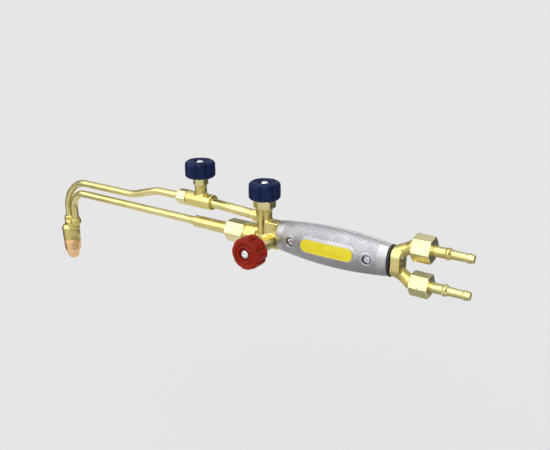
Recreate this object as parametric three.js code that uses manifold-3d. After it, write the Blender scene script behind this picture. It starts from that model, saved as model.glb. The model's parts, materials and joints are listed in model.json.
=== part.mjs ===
// A hand-held injector cutting torch with three screw-down valves, built as separate pieces.
// Millimetres, +Z up, +X towards the hoses, -X towards the cutting head, -Y towards the fuel knob.
// The pieces are placed from the point where the heating valve's axis crosses the mixed-gas line.
// The exported group moves that point, so that its own origin is the middle of the hand grip.

import * as THREE from 'three';
import { mergeVertices } from 'three/addons/utils/BufferGeometryUtils.js';
import Module from 'manifold-3d';

const wasm = await Module();
wasm.setup();

// Driving dimensions, in millimetres.
const GAP = 0.3; // clearance between pieces that touch
const ROUND = 20; // sides of a large turned piece
const SMALL = 12; // sides of a small turned piece
const TINY = 6; // sides of a drilled passage
const TUBE_SIDES = 12; // sides of a tube

const KNOB_R = 18;
const KNOB_HEIGHT = 19.7;
const KNOB_LOBES = 8;
const KNOB_LOBE_DEPTH = 1.1;

const HEATING_VALVE = { x: 0, seat: 31, face: 44.9, glandFlats: 22, glandHeight: 9 };
const CUTTING_VALVE = { x: -92, seat: 24.5, face: 56.2, glandFlats: 16, glandHeight: 8 };
const FUEL_VALVE = { x: 14.2, z: 0.5, seat: 25, face: 38, glandFlats: 19, glandHeight: 8 };

const CUTTING_LINE_Z = 27.6; // axis of the cutting valve's body and its union
const CUTTING_OUTLET_Z = 24; // where the cutting oxygen leaves the valve body
const REAR_TUBE_R = 5.5;
const REAR_TUBE_BORE_R = 4;
const MIXED_TUBE_R = 5;
const MIXED_TUBE_BORE_R = 3.6;
const CUTTING_TUBE_R = 4.7;
const CUTTING_TUBE_BORE_R = 3.4;

const CUTTING_FRONT_Z = 15.7; // axis of the cutting tube's front run
const HEAD_X = -344; // the nozzle's axis, which the cutting tube comes down on
const HEAD_TOP_Z = -37.5;
const HEAD_LEG_PITCH = 12.4; // from the cutting tube back to the mixed-gas tube

const GRIP_START = 22;
const GRIP_END = 152.4;
const GRIP_CENTRE_X = (GRIP_START + GRIP_END) / 2;
const GRIP_CENTRE_Z = 7.2;
const GRIP_HALF_HEIGHT = 21.9;
const GRIP_END_DROP = 5.3; // how much thinner the grip is at its ends
const GRIP_DEPTH_RATIO = 0.735; // the grip's width in Y over its height in Z
const GRIP_WALL = 3;
const GRIP_SIDES = 32;
const GRIP_SCREW_OFFSET = 45; // from the grip's middle to each screw
const FEED_TUBE_R = 4;

// An inlet's height, its union nut's size and angle of rest, and the height of its tube in the grip.
// Its branch leaves the block at the root, and the elbow is how far before the nut it straightens.
const OXYGEN_INLET = { z: 26.6, flats: 24, turn: 8, feed: 16.4, root: [3.4, 17.6], elbow: 0.4 };
const FUEL_INLET = { z: -10.5, flats: 22, turn: 2, feed: -2.2, root: [4, -2.2], elbow: 2.4 };
const INLET_NUT_START = 176;
const INLET_NUT_LENGTH = 18.6;
const INLET_THREAD_R = 8; // M16 x 1.5
const NIPPLE_TIP = 233.4;

const BRASS = { color: 0xcdb86a, roughness: 0.32, metalness: 1 };
const COPPER = { color: 0xd2996a, roughness: 0.38, metalness: 1 };
const STEEL = { color: 0xb9bcc0, roughness: 0.35, metalness: 1 };
const CAST_ALUMINIUM = { color: 0xa9a9ae, roughness: 0.5, metalness: 0.9 };
const BLUE_PLASTIC = { color: 0x17204a, roughness: 0.35, metalness: 0 };
const RED_PLASTIC = { color: 0xb32216, roughness: 0.35, metalness: 0 };
const YELLOW_PAINT = { color: 0xe2d22a, roughness: 0.45, metalness: 0 };
const RUBBER = { color: 0x1a1a1a, roughness: 0.8, metalness: 0 };
const SEALING_PLASTIC = { color: 0xe8e4da, roughness: 0.6, metalness: 0 };

// Solid helpers.

/** Merges shared corners and drops the empty triangles that a lathe leaves on its axis. */
function weld(geometry) {
  const bare = geometry.clone();
  bare.deleteAttribute('normal');
  bare.deleteAttribute('uv');
  const merged = mergeVertices(bare, 1e-4);
  const kept = [];
  const index = merged.index.array;
  for (let i = 0; i < index.length; i += 3) {
    const [a, b, c] = index.subarray(i, i + 3);
    if (a !== b && b !== c && a !== c) kept.push(a, b, c);
  }
  merged.setIndex(kept);
  return merged;
}

function toSolid(geometry) {
  const welded = weld(geometry);
  const vertProperties = Float32Array.from(welded.attributes.position.array);
  const triVerts = Uint32Array.from(welded.index.array);
  return new wasm.Manifold(new wasm.Mesh({ numProp: 3, vertProperties, triVerts }));
}

function toGeometry(solid) {
  const { vertProperties, triVerts } = solid.getMesh();
  const geometry = new THREE.BufferGeometry();
  geometry.setAttribute('position', new THREE.BufferAttribute(Float32Array.from(vertProperties), 3));
  geometry.setIndex(new THREE.BufferAttribute(Uint32Array.from(triVerts), 1));
  geometry.computeVertexNormals();
  return geometry;
}

/** Joins the first list of geometries and cuts the second list out of the result. */
function carve(pieces, holes = []) {
  let solid = toSolid(pieces[0]);
  for (const piece of pieces.slice(1)) solid = solid.add(toSolid(piece));
  for (const hole of holes) solid = solid.subtract(toSolid(hole));
  return toGeometry(solid);
}

function common(first, second) {
  return toGeometry(toSolid(first).intersect(toSolid(second)));
}

/** A piece turned about Z from [radius, height] points, listed upwards on the outside. */
function turned(profile, sides = ROUND) {
  const points = profile.map(([radius, height]) => new THREE.Vector2(radius, height));
  if (points[0].x > 0) points.push(points[0].clone());
  return new THREE.LatheGeometry(points, sides).rotateX(Math.PI / 2);
}

function rod(radius, from, to, sides = ROUND) {
  return turned([[0, from], [radius, from], [radius, to], [0, to]], sides);
}

/** A rod with chamfered ends. */
function bar(radius, from, to, chamfer, sides = ROUND) {
  return turned([
    [0, from], [radius - chamfer, from], [radius, from + chamfer],
    [radius, to - chamfer], [radius - chamfer, to], [0, to],
  ], sides);
}

function ring(inner, outer, from, to, sides = ROUND) {
  return turned([[inner, from], [outer, from], [outer, to], [inner, to]], sides);
}

/** A chamfered hexagonal bar about Z, with two of its flats facing along X. */
function hexBar(acrossFlats, from, to, chamfer = 0.11 * acrossFlats / 2) {
  const cornerR = acrossFlats / Math.sqrt(3);
  const corners = [];
  for (let i = 0; i < 6; i++) {
    const angle = Math.PI / 6 + (i * Math.PI) / 3;
    corners.push(new THREE.Vector2(cornerR * Math.cos(angle), cornerR * Math.sin(angle)));
  }
  const options = { depth: to - from, bevelEnabled: false };
  const prism = new THREE.ExtrudeGeometry(new THREE.Shape(corners), options);
  return common(prism.translate(0, 0, from), bar(cornerR + 0.05, from, to, chamfer, ROUND));
}

/** A box with its vertical edges rounded, between two corners. */
function block([x0, y0, z0], [x1, y1, z1], radius) {
  const shape = new THREE.Shape();
  shape.moveTo(x0 + radius, y0);
  shape.lineTo(x1 - radius, y0);
  shape.absarc(x1 - radius, y0 + radius, radius, -Math.PI / 2, 0);
  shape.absarc(x1 - radius, y1 - radius, radius, 0, Math.PI / 2);
  shape.absarc(x0 + radius, y1 - radius, radius, Math.PI / 2, Math.PI);
  shape.absarc(x0 + radius, y0 + radius, radius, Math.PI, 1.5 * Math.PI);
  const options = { depth: z1 - z0, bevelEnabled: false, curveSegments: 4 };
  return new THREE.ExtrudeGeometry(shape, options).translate(0, 0, z0);
}

/** Turns a geometry made about Z so that it runs along +X, on the line y = 0, z = height. */
const alongX = (geometry, height = 0) => geometry.rotateY(Math.PI / 2).translate(0, 0, height);

/** Turns a geometry made about Z so that it runs from one point to another. */
function aimed(geometry, from, to) {
  const direction = new THREE.Vector3().subVectors(to, from).normalize();
  const turn = new THREE.Quaternion().setFromUnitVectors(new THREE.Vector3(0, 0, 1), direction);
  return geometry.applyQuaternion(turn).translate(from.x, from.y, from.z);
}

/** A rod between two points. */
function rodBetween(from, to, radius, sides = ROUND) {
  return aimed(rod(radius, 0, from.distanceTo(to), sides), from, to);
}

const at = (x, y, z) => new THREE.Vector3(x, y, z);

/** A path through fixed stations, with one extrusion step between each pair. */
class StationCurve extends THREE.Curve {
  constructor(stations) {
    super();
    this.stations = stations;
  }

  getPoint(t, target = new THREE.Vector3()) {
    const scaled = Math.min(Math.max(t, 0), 1) * (this.stations.length - 1);
    const index = Math.min(Math.floor(scaled), this.stations.length - 2);
    return target.lerpVectors(this.stations[index], this.stations[index + 1], scaled - index);
  }

  getPointAt(u, target) {
    return this.getPoint(u, target);
  }

  getTangentAt(u, target) {
    return this.getTangent(u, target);
  }
}

/** Stations along a bar bent in the XZ plane, each corner given as [x, z, bend radius]. */
function bentRun(corners) {
  const points = corners.map(([x, z]) => at(x, 0, z));
  const run = [points[0]];
  for (let i = 1; i < points.length - 1; i++) {
    const back = points[i - 1].clone().sub(points[i]).normalize();
    const onward = points[i + 1].clone().sub(points[i]).normalize();
    const half = back.angleTo(onward) / 2;
    const radius = corners[i][2];
    const bisector = back.clone().add(onward).normalize();
    const centre = points[i].clone().addScaledVector(bisector, radius / Math.sin(half));
    const start = points[i].clone().addScaledVector(back, radius / Math.tan(half)).sub(centre);
    const hinge = onward.clone().cross(back).normalize();
    const sweep = Math.PI - 2 * half;
    const steps = Math.max(2, Math.ceil(sweep / THREE.MathUtils.degToRad(11)));
    for (let step = 0; step <= steps; step++) {
      run.push(start.clone().applyAxisAngle(hinge, (sweep * step) / steps).add(centre));
    }
  }
  run.push(points.at(-1));
  return run;
}

function circle(radius, sides) {
  const points = [];
  for (let i = 0; i < sides; i++) {
    const angle = (2 * Math.PI * i) / sides;
    points.push(new THREE.Vector2(radius * Math.cos(angle), radius * Math.sin(angle)));
  }
  return points;
}

function bentTube(corners, outer, bore, sides = TUBE_SIDES) {
  const run = bentRun(corners);
  const section = new THREE.Shape(circle(outer, sides));
  section.holes.push(new THREE.Path(circle(bore, sides).reverse()));
  const options = { steps: run.length - 1, extrudePath: new StationCurve(run), bevelEnabled: false };
  return new THREE.ExtrudeGeometry(section, options);
}

function straightTube(from, to, outer, bore) {
  return aimed(ring(bore, outer, 0, from.distanceTo(to), TUBE_SIDES), from, to);
}

const torch = new THREE.Group();
torch.position.set(-GRIP_CENTRE_X, 0, -GRIP_CENTRE_Z);

function addPart(name, geometry, finish, parent = torch) {
  const mesh = new THREE.Mesh(geometry, new THREE.MeshStandardMaterial(finish));
  mesh.name = name;
  parent.add(mesh);
  return mesh;
}

// Valve trim. Its frame has +Z along the spindle and its origin at the knob's underside.

const SPINDLE_STEM_R = 3.6;
const SPINDLE_THREAD_R = 4.2;
const SPINDLE_THREAD_TOP = -11.7; // 3 mm below the packing, for 2 mm of lift
const VALVE_BORE_R = 4.6;
const SEAT_HOLE_R = 1.5;
const BALL_R = 2.3;
const SPIGOT_R = 6.6;
const SPIGOT_TOP = -4.2;
const PACKING_BOTTOM = -8.7;
const PACKING_R = 5;
const SPINDLE_SHOULDER = 3;
const SPINDLE_SQUARE = 6;
const SPINDLE_TOP = 12.4;
const KNOB_RECESS_FLOOR = 16.5;
const KNOB_STEPS = 5; // sides of the knob in each lobe

/** What a valve's body is drilled out to: packing chamber, threaded bore and seat hole. */
function valveBores({ seat }, through) {
  return [
    rod(PACKING_R + GAP, PACKING_BOTTOM - GAP, SPIGOT_TOP + 1, SMALL),
    turned([[0, -seat], [SEAT_HOLE_R, -seat], [VALVE_BORE_R, -seat + 3], [VALVE_BORE_R, -8], [0, -8]], SMALL),
    rod(SEAT_HOLE_R, -seat - through, -seat + 1, TINY),
  ];
}

function valveSpigot({ glandHeight }) {
  return rod(SPIGOT_R, -glandHeight - 1.5, SPIGOT_TOP, SMALL);
}

/** A gland nut: a hexagonal cap over the body's spigot, with a hole for the spindle. */
function glandNut({ glandFlats, glandHeight }) {
  const top = -0.9;
  return carve([hexBar(glandFlats, -glandHeight - 0.9, top)], [
    rod(SPIGOT_R + GAP, -glandHeight - 2, SPIGOT_TOP + GAP, SMALL),
    rod(SPINDLE_STEM_R + GAP, -glandHeight, top + 1, SMALL),
  ]);
}

const packing = () => ring(SPINDLE_STEM_R + GAP, PACKING_R, PACKING_BOTTOM, SPIGOT_TOP, SMALL);

/** A spindle: ball pocket, threaded length, plain stem, and a square top drilled for the screw. */
function spindle({ seat }) {
  const foot = -seat + 3.4;
  const pocket = BALL_R + GAP;
  const shank = turned([
    [0, foot + 1.9], [pocket, foot + 1.9], [pocket, foot], [SPINDLE_STEM_R, foot],
    [SPINDLE_THREAD_R, foot + 1.5], [SPINDLE_THREAD_R, SPINDLE_THREAD_TOP],
    [SPINDLE_STEM_R, SPINDLE_THREAD_TOP + 0.6], [SPINDLE_STEM_R, SPINDLE_SHOULDER], [0, SPINDLE_SHOULDER],
  ], SMALL);
  const half = SPINDLE_SQUARE / 2;
  const square = block([-half, -half, 2.5], [half, half, SPINDLE_TOP], 0.6);
  return carve([shank, square], [rod(2, 5.2, SPINDLE_TOP + 1, TINY)]);
}

/** The valve's ball, centred so that it rests just clear of the seat and the spindle's pocket. */
function valveBall({ seat }) {
  return new THREE.SphereGeometry(BALL_R, 16, 10).translate(0, 0, -seat + 2.75);
}

function knobOutline() {
  const points = [];
  const count = KNOB_LOBES * KNOB_STEPS;
  for (let i = 0; i < count; i++) {
    const angle = (2 * Math.PI * i) / count;
    const radius = KNOB_R - KNOB_LOBE_DEPTH * (0.5 - 0.5 * Math.cos(KNOB_LOBES * angle));
    points.push(new THREE.Vector2(radius * Math.cos(angle), radius * Math.sin(angle)));
  }
  return new THREE.Shape(points);
}

/** A lobed knob with chamfered rims, a grooved top, a screw recess and a square socket. */
function knob() {
  const prism = new THREE.ExtrudeGeometry(knobOutline(), { depth: KNOB_HEIGHT + 2, bevelEnabled: false });
  const envelope = turned([
    [0, 0], [16.4, 0], [KNOB_R + 0.1, 1.8], [KNOB_R + 0.1, KNOB_HEIGHT - 3.6], [14.4, KNOB_HEIGHT],
    [0, KNOB_HEIGHT],
  ], KNOB_LOBES * KNOB_STEPS);
  const body = common(prism.translate(0, 0, -1), envelope);
  const half = SPINDLE_SQUARE / 2 + GAP;
  const grooveFloor = KNOB_HEIGHT - 1.2;
  return carve([body], [
    turned([[9.6, grooveFloor], [11.4, grooveFloor], [12, KNOB_HEIGHT + 1], [9, KNOB_HEIGHT + 1]]),
    turned([[0, KNOB_RECESS_FLOOR], [6.8, KNOB_RECESS_FLOOR], [7.6, KNOB_HEIGHT + 1], [0, KNOB_HEIGHT + 1]]),
    rod(2.1, 12, KNOB_HEIGHT, TINY),
    block([-half, -half, 2.7], [half, half, SPINDLE_TOP + GAP], 0.5),
    rod(SPINDLE_STEM_R + 0.7, -1, SPINDLE_SHOULDER + GAP, SMALL),
  ]);
}

/** The knob's screw: a slotted cheese head on a shank that goes into the spindle. */
function knobScrew() {
  const head = KNOB_RECESS_FLOOR + GAP;
  const screw = turned([
    [0, 6], [1.7, 6], [1.7, head], [4.3, head], [4.3, head + 1.9], [3.7, head + 2.4], [0, head + 2.4],
  ], SMALL);
  return carve([screw], [new THREE.BoxGeometry(12, 1, 1.8).translate(0, 0, head + 2.4)]);
}

/** Adds one valve's moving and sealing pieces, and returns the group that carries them. */
function addValveTrim(prefix, valve, plastic) {
  const trim = new THREE.Group();
  torch.add(trim);
  addPart(`${prefix}_gland_nut`, glandNut(valve), BRASS, trim);
  addPart(`${prefix}_packing`, packing(), SEALING_PLASTIC, trim);
  addPart(`${prefix}_valve_ball`, valveBall(valve), STEEL, trim);
  addPart(`${prefix}_spindle`, spindle(valve), BRASS, trim);
  addPart(`${prefix}_knob`, knob(), plastic, trim);
  addPart(`${prefix}_knob_screw`, knobScrew(), STEEL, trim);
  return trim;
}

/** Moves geometries out of a valve's own frame into the torch's frame. */
const onHeatingAxis = (geometry) => geometry.translate(HEATING_VALVE.x, 0, HEATING_VALVE.face);
const onCuttingAxis = (geometry) => geometry.translate(CUTTING_VALVE.x, 0, CUTTING_VALVE.face);
const onFuelAxis = (geometry) =>
  geometry.rotateX(Math.PI / 2).translate(FUEL_VALVE.x, -FUEL_VALVE.face, FUEL_VALVE.z);

// Valve body: the forging that holds the heating and fuel valves and the injector.

const BODY_FRONT = -23;
const BARREL_R = 13.4;
const COLUMN_R = 8.4;
const CORE_R = 9.2; // round bar that joins the barrel, the column and the rear block
const BOSS_R = 7.4; // bosses for the fuel valve and the cutting outlet
const BODY_BACK = GRIP_START - GAP;
const MIXER_THREAD_R = 9;
const MIXER_SEAT = -43; // where the body's thread ends and the mixing chamber begins
const INJECTOR_BACK = -12;
const INJECTOR_R = 4;
const FUEL_CHAMBER_R = 6;
const FEED_SOCKET_X = 14;
const CUTTING_SOCKET_X = -9;
const OXYGEN_PASSAGE_R = 2.2;
const FUEL_PASSAGE_R = 1.1;

function valveBodyShape() {
  const { glandHeight: heatingGland, face: heatingFace } = HEATING_VALVE;
  const { glandHeight: fuelGland, face: fuelFace } = FUEL_VALVE;
  return [
    alongX(bar(BARREL_R, BODY_FRONT, -6, 1.2)),
    alongX(rod(MIXER_THREAD_R, MIXER_SEAT, BODY_FRONT + 1)),
    rod(COLUMN_R, 0, heatingFace - heatingGland - 1.2),
    onHeatingAxis(valveSpigot(HEATING_VALVE)),
    alongX(bar(CORE_R, -8, 12, 1)),
    block([5, -7, -9], [BODY_BACK, 7, 21.6], 3),
    onFuelAxis(bar(BOSS_R, -fuelFace + 2, -fuelGland - 1.2, 1)),
    onFuelAxis(valveSpigot(FUEL_VALVE)),
    alongX(bar(BOSS_R, -13, 0, 1), CUTTING_OUTLET_Z),
  ];
}

/** The socket for a feed tube in the body's rear block. */
function feedSocket(height) {
  const mouth = at(BODY_BACK + 1, 0, height);
  return rodBetween(at(FEED_SOCKET_X, 0, height), mouth, FEED_TUBE_R + GAP, SMALL);
}

function valveBodyHoles() {
  const fuelSeat = at(FUEL_VALVE.x, -FUEL_VALVE.face + FUEL_VALVE.seat, FUEL_VALVE.z);
  const fuelSide = at(fuelSeat.x, -5.2, 0);
  const oxygen = OXYGEN_INLET.feed;
  const fuel = FUEL_INLET.feed;
  return [
    ...valveBores(HEATING_VALVE, 14).map(onHeatingAxis),
    ...valveBores(FUEL_VALVE, 8).map(onFuelAxis),
    alongX(rod(INJECTOR_R + GAP, MIXER_SEAT - 1, INJECTOR_BACK, SMALL)),
    alongX(rod(FUEL_CHAMBER_R, MIXER_SEAT - 1, INJECTOR_BACK - 4, SMALL)),
    rodBetween(at(INJECTOR_BACK - 1, 0, 0), at(1, 0, 0), 1.2, TINY),
    rodBetween(fuelSide, at(INJECTOR_BACK - 6, fuelSide.y, 0), FUEL_PASSAGE_R, TINY),
    feedSocket(oxygen),
    rodBetween(at(0, 0, oxygen + 2), at(FEED_SOCKET_X + 1, 0, oxygen), OXYGEN_PASSAGE_R, TINY),
    feedSocket(fuel),
    rodBetween(at(FEED_SOCKET_X + 1, 0, fuel - 2.5), at(fuelSeat.x, -17, 0), FUEL_PASSAGE_R, TINY),
    rearTubeHole(),
    alongX(rod(OXYGEN_PASSAGE_R, CUTTING_SOCKET_X - 1, 0, TINY), CUTTING_OUTLET_Z),
  ];
}

/** The injector: an oxygen jet held in the body, with a stepped nose in the mixing chamber. */
function injector() {
  const back = INJECTOR_BACK - GAP;
  return alongX(turned([
    [0.6, back - 33], [1.6, back - 33], [2.4, back - 24], [INJECTOR_R, back - 22],
    [INJECTOR_R, back], [0.6, back],
  ], SMALL));
}

// Mixing chamber, its union nut and the mixed-gas tube.

const MIXER_NUT_START = -49.6;
const MIXER_CHAMBER_R = 7.2;
const MIXER_FRONT = -102;

function mixingChamber() {
  const collarBack = MIXER_SEAT - GAP;
  const socket = MIXED_TUBE_R + GAP;
  return alongX(turned([
    [socket, MIXER_FRONT], [MIXER_CHAMBER_R - 0.6, MIXER_FRONT], [MIXER_CHAMBER_R, MIXER_FRONT + 0.8],
    [MIXER_CHAMBER_R, collarBack - 3], [8.6, collarBack - 3], [8.6, collarBack], [4.2, collarBack],
    [1.5, -56], [1.5, -76], [MIXED_TUBE_BORE_R, MIXER_FRONT + 12], [socket, MIXER_FRONT + 12],
  ], 24));
}

function mixerUnionNut() {
  return alongX(carve([hexBar(24, MIXER_NUT_START, BODY_FRONT - GAP, 2.6)], [
    rod(MIXER_THREAD_R + GAP, MIXER_NUT_START + 1.9, BODY_FRONT + 1, 24),
    rod(MIXER_CHAMBER_R + GAP, MIXER_NUT_START - 1, MIXER_NUT_START + 3, 24),
  ]));
}

// Cutting-oxygen valve, its tubes and its union.

const CUTTING_BODY_FRONT = -111.4;
const CUTTING_BODY_BACK = -73.4;
const CUTTING_NUT_START = -125.2;
const CUTTING_BODY_R = 9.25;
const CUTTING_NECK_R = 7;
const CUTTING_THREAD_R = 6.4;

function cuttingValveBody() {
  const { glandHeight, face, seat } = CUTTING_VALVE;
  const seatZ = face - seat;
  return carve([
    alongX(bar(CUTTING_BODY_R, CUTTING_BODY_FRONT, CUTTING_BODY_BACK, 0.8), CUTTING_LINE_Z),
    alongX(rod(CUTTING_THREAD_R, CUTTING_NUT_START + 4, CUTTING_BODY_FRONT + 1, SMALL), CUTTING_LINE_Z),
    rod(CUTTING_NECK_R, CUTTING_LINE_Z, face - glandHeight - 1.2, 24).translate(CUTTING_VALVE.x, 0, 0),
    onCuttingAxis(valveSpigot(CUTTING_VALVE)),
  ], [
    ...valveBores(CUTTING_VALVE, 6).map(onCuttingAxis),
    rearTubeHole(),
    rodBetween(at(CUTTING_BODY_BACK - 5, 0, CUTTING_LINE_Z), at(CUTTING_VALVE.x, 0, seatZ + 5), 1.8, TINY),
    rodBetween(at(CUTTING_NUT_START, 0, CUTTING_LINE_Z), at(CUTTING_VALVE.x, 0, CUTTING_LINE_Z), 2, TINY),
  ]);
}

function cuttingUnionNut() {
  return alongX(carve([hexBar(17, CUTTING_NUT_START, CUTTING_BODY_FRONT - GAP)], [
    rod(CUTTING_THREAD_R + GAP, CUTTING_NUT_START + 2, CUTTING_BODY_FRONT + 1, 24),
    rod(CUTTING_TUBE_R + GAP, CUTTING_NUT_START - 1, CUTTING_NUT_START + 3, 24),
  ]), CUTTING_LINE_Z);
}

function cuttingTubeFront() {
  const collarFront = CUTTING_NUT_START + 2 + GAP;
  return carve([
    bentTube([
      [collarFront + 1.4, CUTTING_LINE_Z], [-165, CUTTING_LINE_Z, 50], [-209, CUTTING_FRONT_Z, 50],
      [HEAD_X, CUTTING_FRONT_Z, 43], [HEAD_X, HEAD_TOP_Z - SOCKET_DEPTH + GAP],
    ], CUTTING_TUBE_R, CUTTING_TUBE_BORE_R),
    alongX(ring(CUTTING_TUBE_BORE_R + 0.4, 6.3, collarFront, collarFront + 1.4, SMALL), CUTTING_LINE_Z),
  ]);
}

function mixedGasTube() {
  const legX = HEAD_X + HEAD_LEG_PITCH;
  return bentTube([
    [MIXER_FRONT + 12 - GAP, 0], [legX, 0, 25], [legX, HEAD_TOP_Z - SIDE_SOCKET_END + GAP],
  ], MIXED_TUBE_R, MIXED_TUBE_BORE_R);
}

const rearTubeEnds = [
  at(CUTTING_BODY_BACK - 5.5, 0, CUTTING_LINE_Z),
  at(CUTTING_SOCKET_X - GAP, 0, CUTTING_OUTLET_Z),
];

function cuttingTubeRear() {
  return straightTube(...rearTubeEnds, REAR_TUBE_R, REAR_TUBE_BORE_R);
}

/** The space of the rear cutting tube with clearance, cut out of both bodies that it enters. */
function rearTubeHole() {
  const [from, to] = rearTubeEnds;
  const slack = to.clone().sub(from).setLength(GAP);
  return rodBetween(from.clone().sub(slack), to.clone().add(slack), REAR_TUBE_R + GAP, TUBE_SIDES);
}

// Cutting head. Its frame has +Z down the nozzle and its origin at the top of the front collar.

const HEAD_LENGTH = 34.5;
const HEAD_COLLAR_R = 7.5;
const HEAD_BODY_R = 12.2;
const SOCKET_DEPTH = 9.4;
const SIDE_COLLAR_START = 3; // the mixed-gas tube's collar stands lower than the cutting tube's
const SIDE_SOCKET_END = 9;
const PLUG_BOSS_R = 5.2;
const PLUG_ALONG = 22; // the cross-drilling's plug, below the head's top
const PLUG_FACE = 14.2;
const INNER_THREAD_R = 5;
const OUTER_THREAD_R = 9.4;
const INNER_SEAT = 24;
const OUTER_SEAT = 28;

function headBlock() {
  return carve([
    rod(HEAD_COLLAR_R, 0, 17, SMALL + 4),
    turned([
      [0, SIDE_COLLAR_START], [HEAD_COLLAR_R, SIDE_COLLAR_START], [HEAD_COLLAR_R, SIDE_SOCKET_END],
      [5.6, 13], [0, 13],
    ], SMALL + 4).translate(HEAD_LEG_PITCH, 0, 0),
    rod(9, 7, 18, SMALL + 4).translate(5, 0, 0),
    turned([
      [0, 13], [10, 13], [HEAD_BODY_R, 17], [HEAD_BODY_R, 28],
      [HEAD_BODY_R - 0.5, HEAD_LENGTH], [0, HEAD_LENGTH],
    ]),
    rod(PLUG_BOSS_R, 0, PLUG_FACE, SMALL).rotateY(-Math.PI / 2).translate(0, 0, PLUG_ALONG),
  ], [
    rod(CUTTING_TUBE_R + GAP, -1, SOCKET_DEPTH, SMALL),
    rod(MIXED_TUBE_R + GAP, -1, SIDE_SOCKET_END, SMALL).translate(HEAD_LEG_PITCH, 0, 0),
    rod(1.8, SOCKET_DEPTH - 1, INNER_SEAT + 1, TINY),
    rodBetween(at(HEAD_LEG_PITCH, 0, SIDE_SOCKET_END - 1), at(7.8, 0, OUTER_SEAT + 1), 1.5, TINY),
    rod(INNER_THREAD_R + GAP, INNER_SEAT, HEAD_LENGTH + 1, SMALL),
    ring(6.2, OUTER_THREAD_R + GAP, OUTER_SEAT, HEAD_LENGTH + 1, 24),
    rod(3.9, 8, PLUG_FACE + 1, SMALL).rotateY(-Math.PI / 2).translate(0, 0, PLUG_ALONG),
    rod(1.2, 0, 9, TINY).rotateY(-Math.PI / 2).translate(0, 0, PLUG_ALONG),
  ]);
}

function headPlug() {
  return turned([
    [0, 8.4], [3.6, 8.4], [3.6, PLUG_FACE + GAP], [4.9, PLUG_FACE + GAP],
    [4.9, PLUG_FACE + 1.4], [4.4, PLUG_FACE + 1.8], [0, PLUG_FACE + 1.8],
  ], SMALL).rotateY(-Math.PI / 2).translate(0, 0, PLUG_ALONG);
}

const NOZZLE_START = HEAD_LENGTH + GAP;
const NOZZLE_LENGTH = 28.7;

/** The inner nozzle: oxygen bore, threaded shank, fluted nose. */
function innerNozzle() {
  const tip = NOZZLE_START + NOZZLE_LENGTH - 1.2;
  return turned([
    [2, INNER_SEAT + GAP], [INNER_THREAD_R, INNER_SEAT + GAP], [INNER_THREAD_R, NOZZLE_START + 3],
    [INNER_THREAD_R + 0.9, NOZZLE_START + 4], [4.6, NOZZLE_START + 10], [3.2, tip], [1, tip],
  ], SMALL);
}

function outerNozzle() {
  const tip = NOZZLE_START + NOZZLE_LENGTH;
  return turned([
    [6.6, OUTER_SEAT + GAP], [OUTER_THREAD_R, OUTER_SEAT + GAP], [OUTER_THREAD_R, NOZZLE_START],
    [11.7, NOZZLE_START], [11, tip - 13.5], [7.2, tip - 3], [5.8, tip], [3.8, tip],
    [3.8, tip - 4], [6.6, NOZZLE_START + 8],
  ], 24);
}

// Grip: two cast halves that meet on y = 0, their screws, the label plate and the end ring.

const gripScrewPlaces = [GRIP_CENTRE_X - GRIP_SCREW_OFFSET, GRIP_CENTRE_X + GRIP_SCREW_OFFSET];

const gripHalfHeight = (x) =>
  GRIP_HALF_HEIGHT - GRIP_END_DROP * ((x - GRIP_CENTRE_X) / (GRIP_CENTRE_X - GRIP_START)) ** 2;

/** The grip's outer form, or its cavity when wall is more than 0. */
function gripForm(from, to, wall, sides, stations = 8) {
  const profile = [[0, from]];
  for (let i = 0; i <= stations; i++) {
    const x = from + ((to - from) * i) / stations;
    profile.push([gripHalfHeight(x) - wall, x]);
  }
  profile.push([0, to]);
  return alongX(turned(profile, sides).scale(1, GRIP_DEPTH_RATIO, 1), GRIP_CENTRE_Z);
}

const SCREW_HEAD_R = 4;
const COUNTERBORE_R = 4.9;
const SCREW_BOSS_R = 6.6;
const COUNTERBORE_FLOOR = 10.4; // from the parting plane
const SCREW_R = 2;

/** Turns a geometry made about Z so that it runs along -Y through a screw's place on the grip. */
const onScrewAxis = (geometry, x) => geometry.rotateX(Math.PI / 2).translate(x, 0, GRIP_CENTRE_Z);

/** One grip half. The side is 1 for the near half (-Y) with the screw heads, -1 for the far half. */
function gripHalf(side) {
  const halfSpace = new THREE.BoxGeometry(200, 40, 80);
  halfSpace.translate(GRIP_CENTRE_X, -side * (20 + GAP / 2), GRIP_CENTRE_Z);
  const screwRod = (radius, near, far, x) =>
    onScrewAxis(rod(radius, Math.min(side * near, side * far), Math.max(side * near, side * far), SMALL), x);
  const bosses = gripScrewPlaces.map((x) => screwRod(SCREW_BOSS_R, -1, 20, x));
  const shanks = gripScrewPlaces.map((x) => screwRod(SCREW_R + GAP, -1, 20, x));
  const counterbores = gripScrewPlaces.map((x) => screwRod(COUNTERBORE_R, COUNTERBORE_FLOOR, 25, x));
  const tubeWays = [OXYGEN_INLET.feed, FUEL_INLET.feed].map((z) =>
    alongX(rod(FEED_TUBE_R + GAP, GRIP_START - 1, GRIP_END + 1, SMALL), z));
  const cavity = carve([gripForm(GRIP_START + 4, GRIP_END - 4, GRIP_WALL, 20)], bosses);
  const outside = gripForm(GRIP_START, GRIP_END, 0, GRIP_SIDES);
  return common(carve([outside], [cavity, ...tubeWays, ...shanks, ...counterbores]), halfSpace);
}

const LABEL_LENGTH = 61;
const LABEL_HEIGHT = 14;

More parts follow.
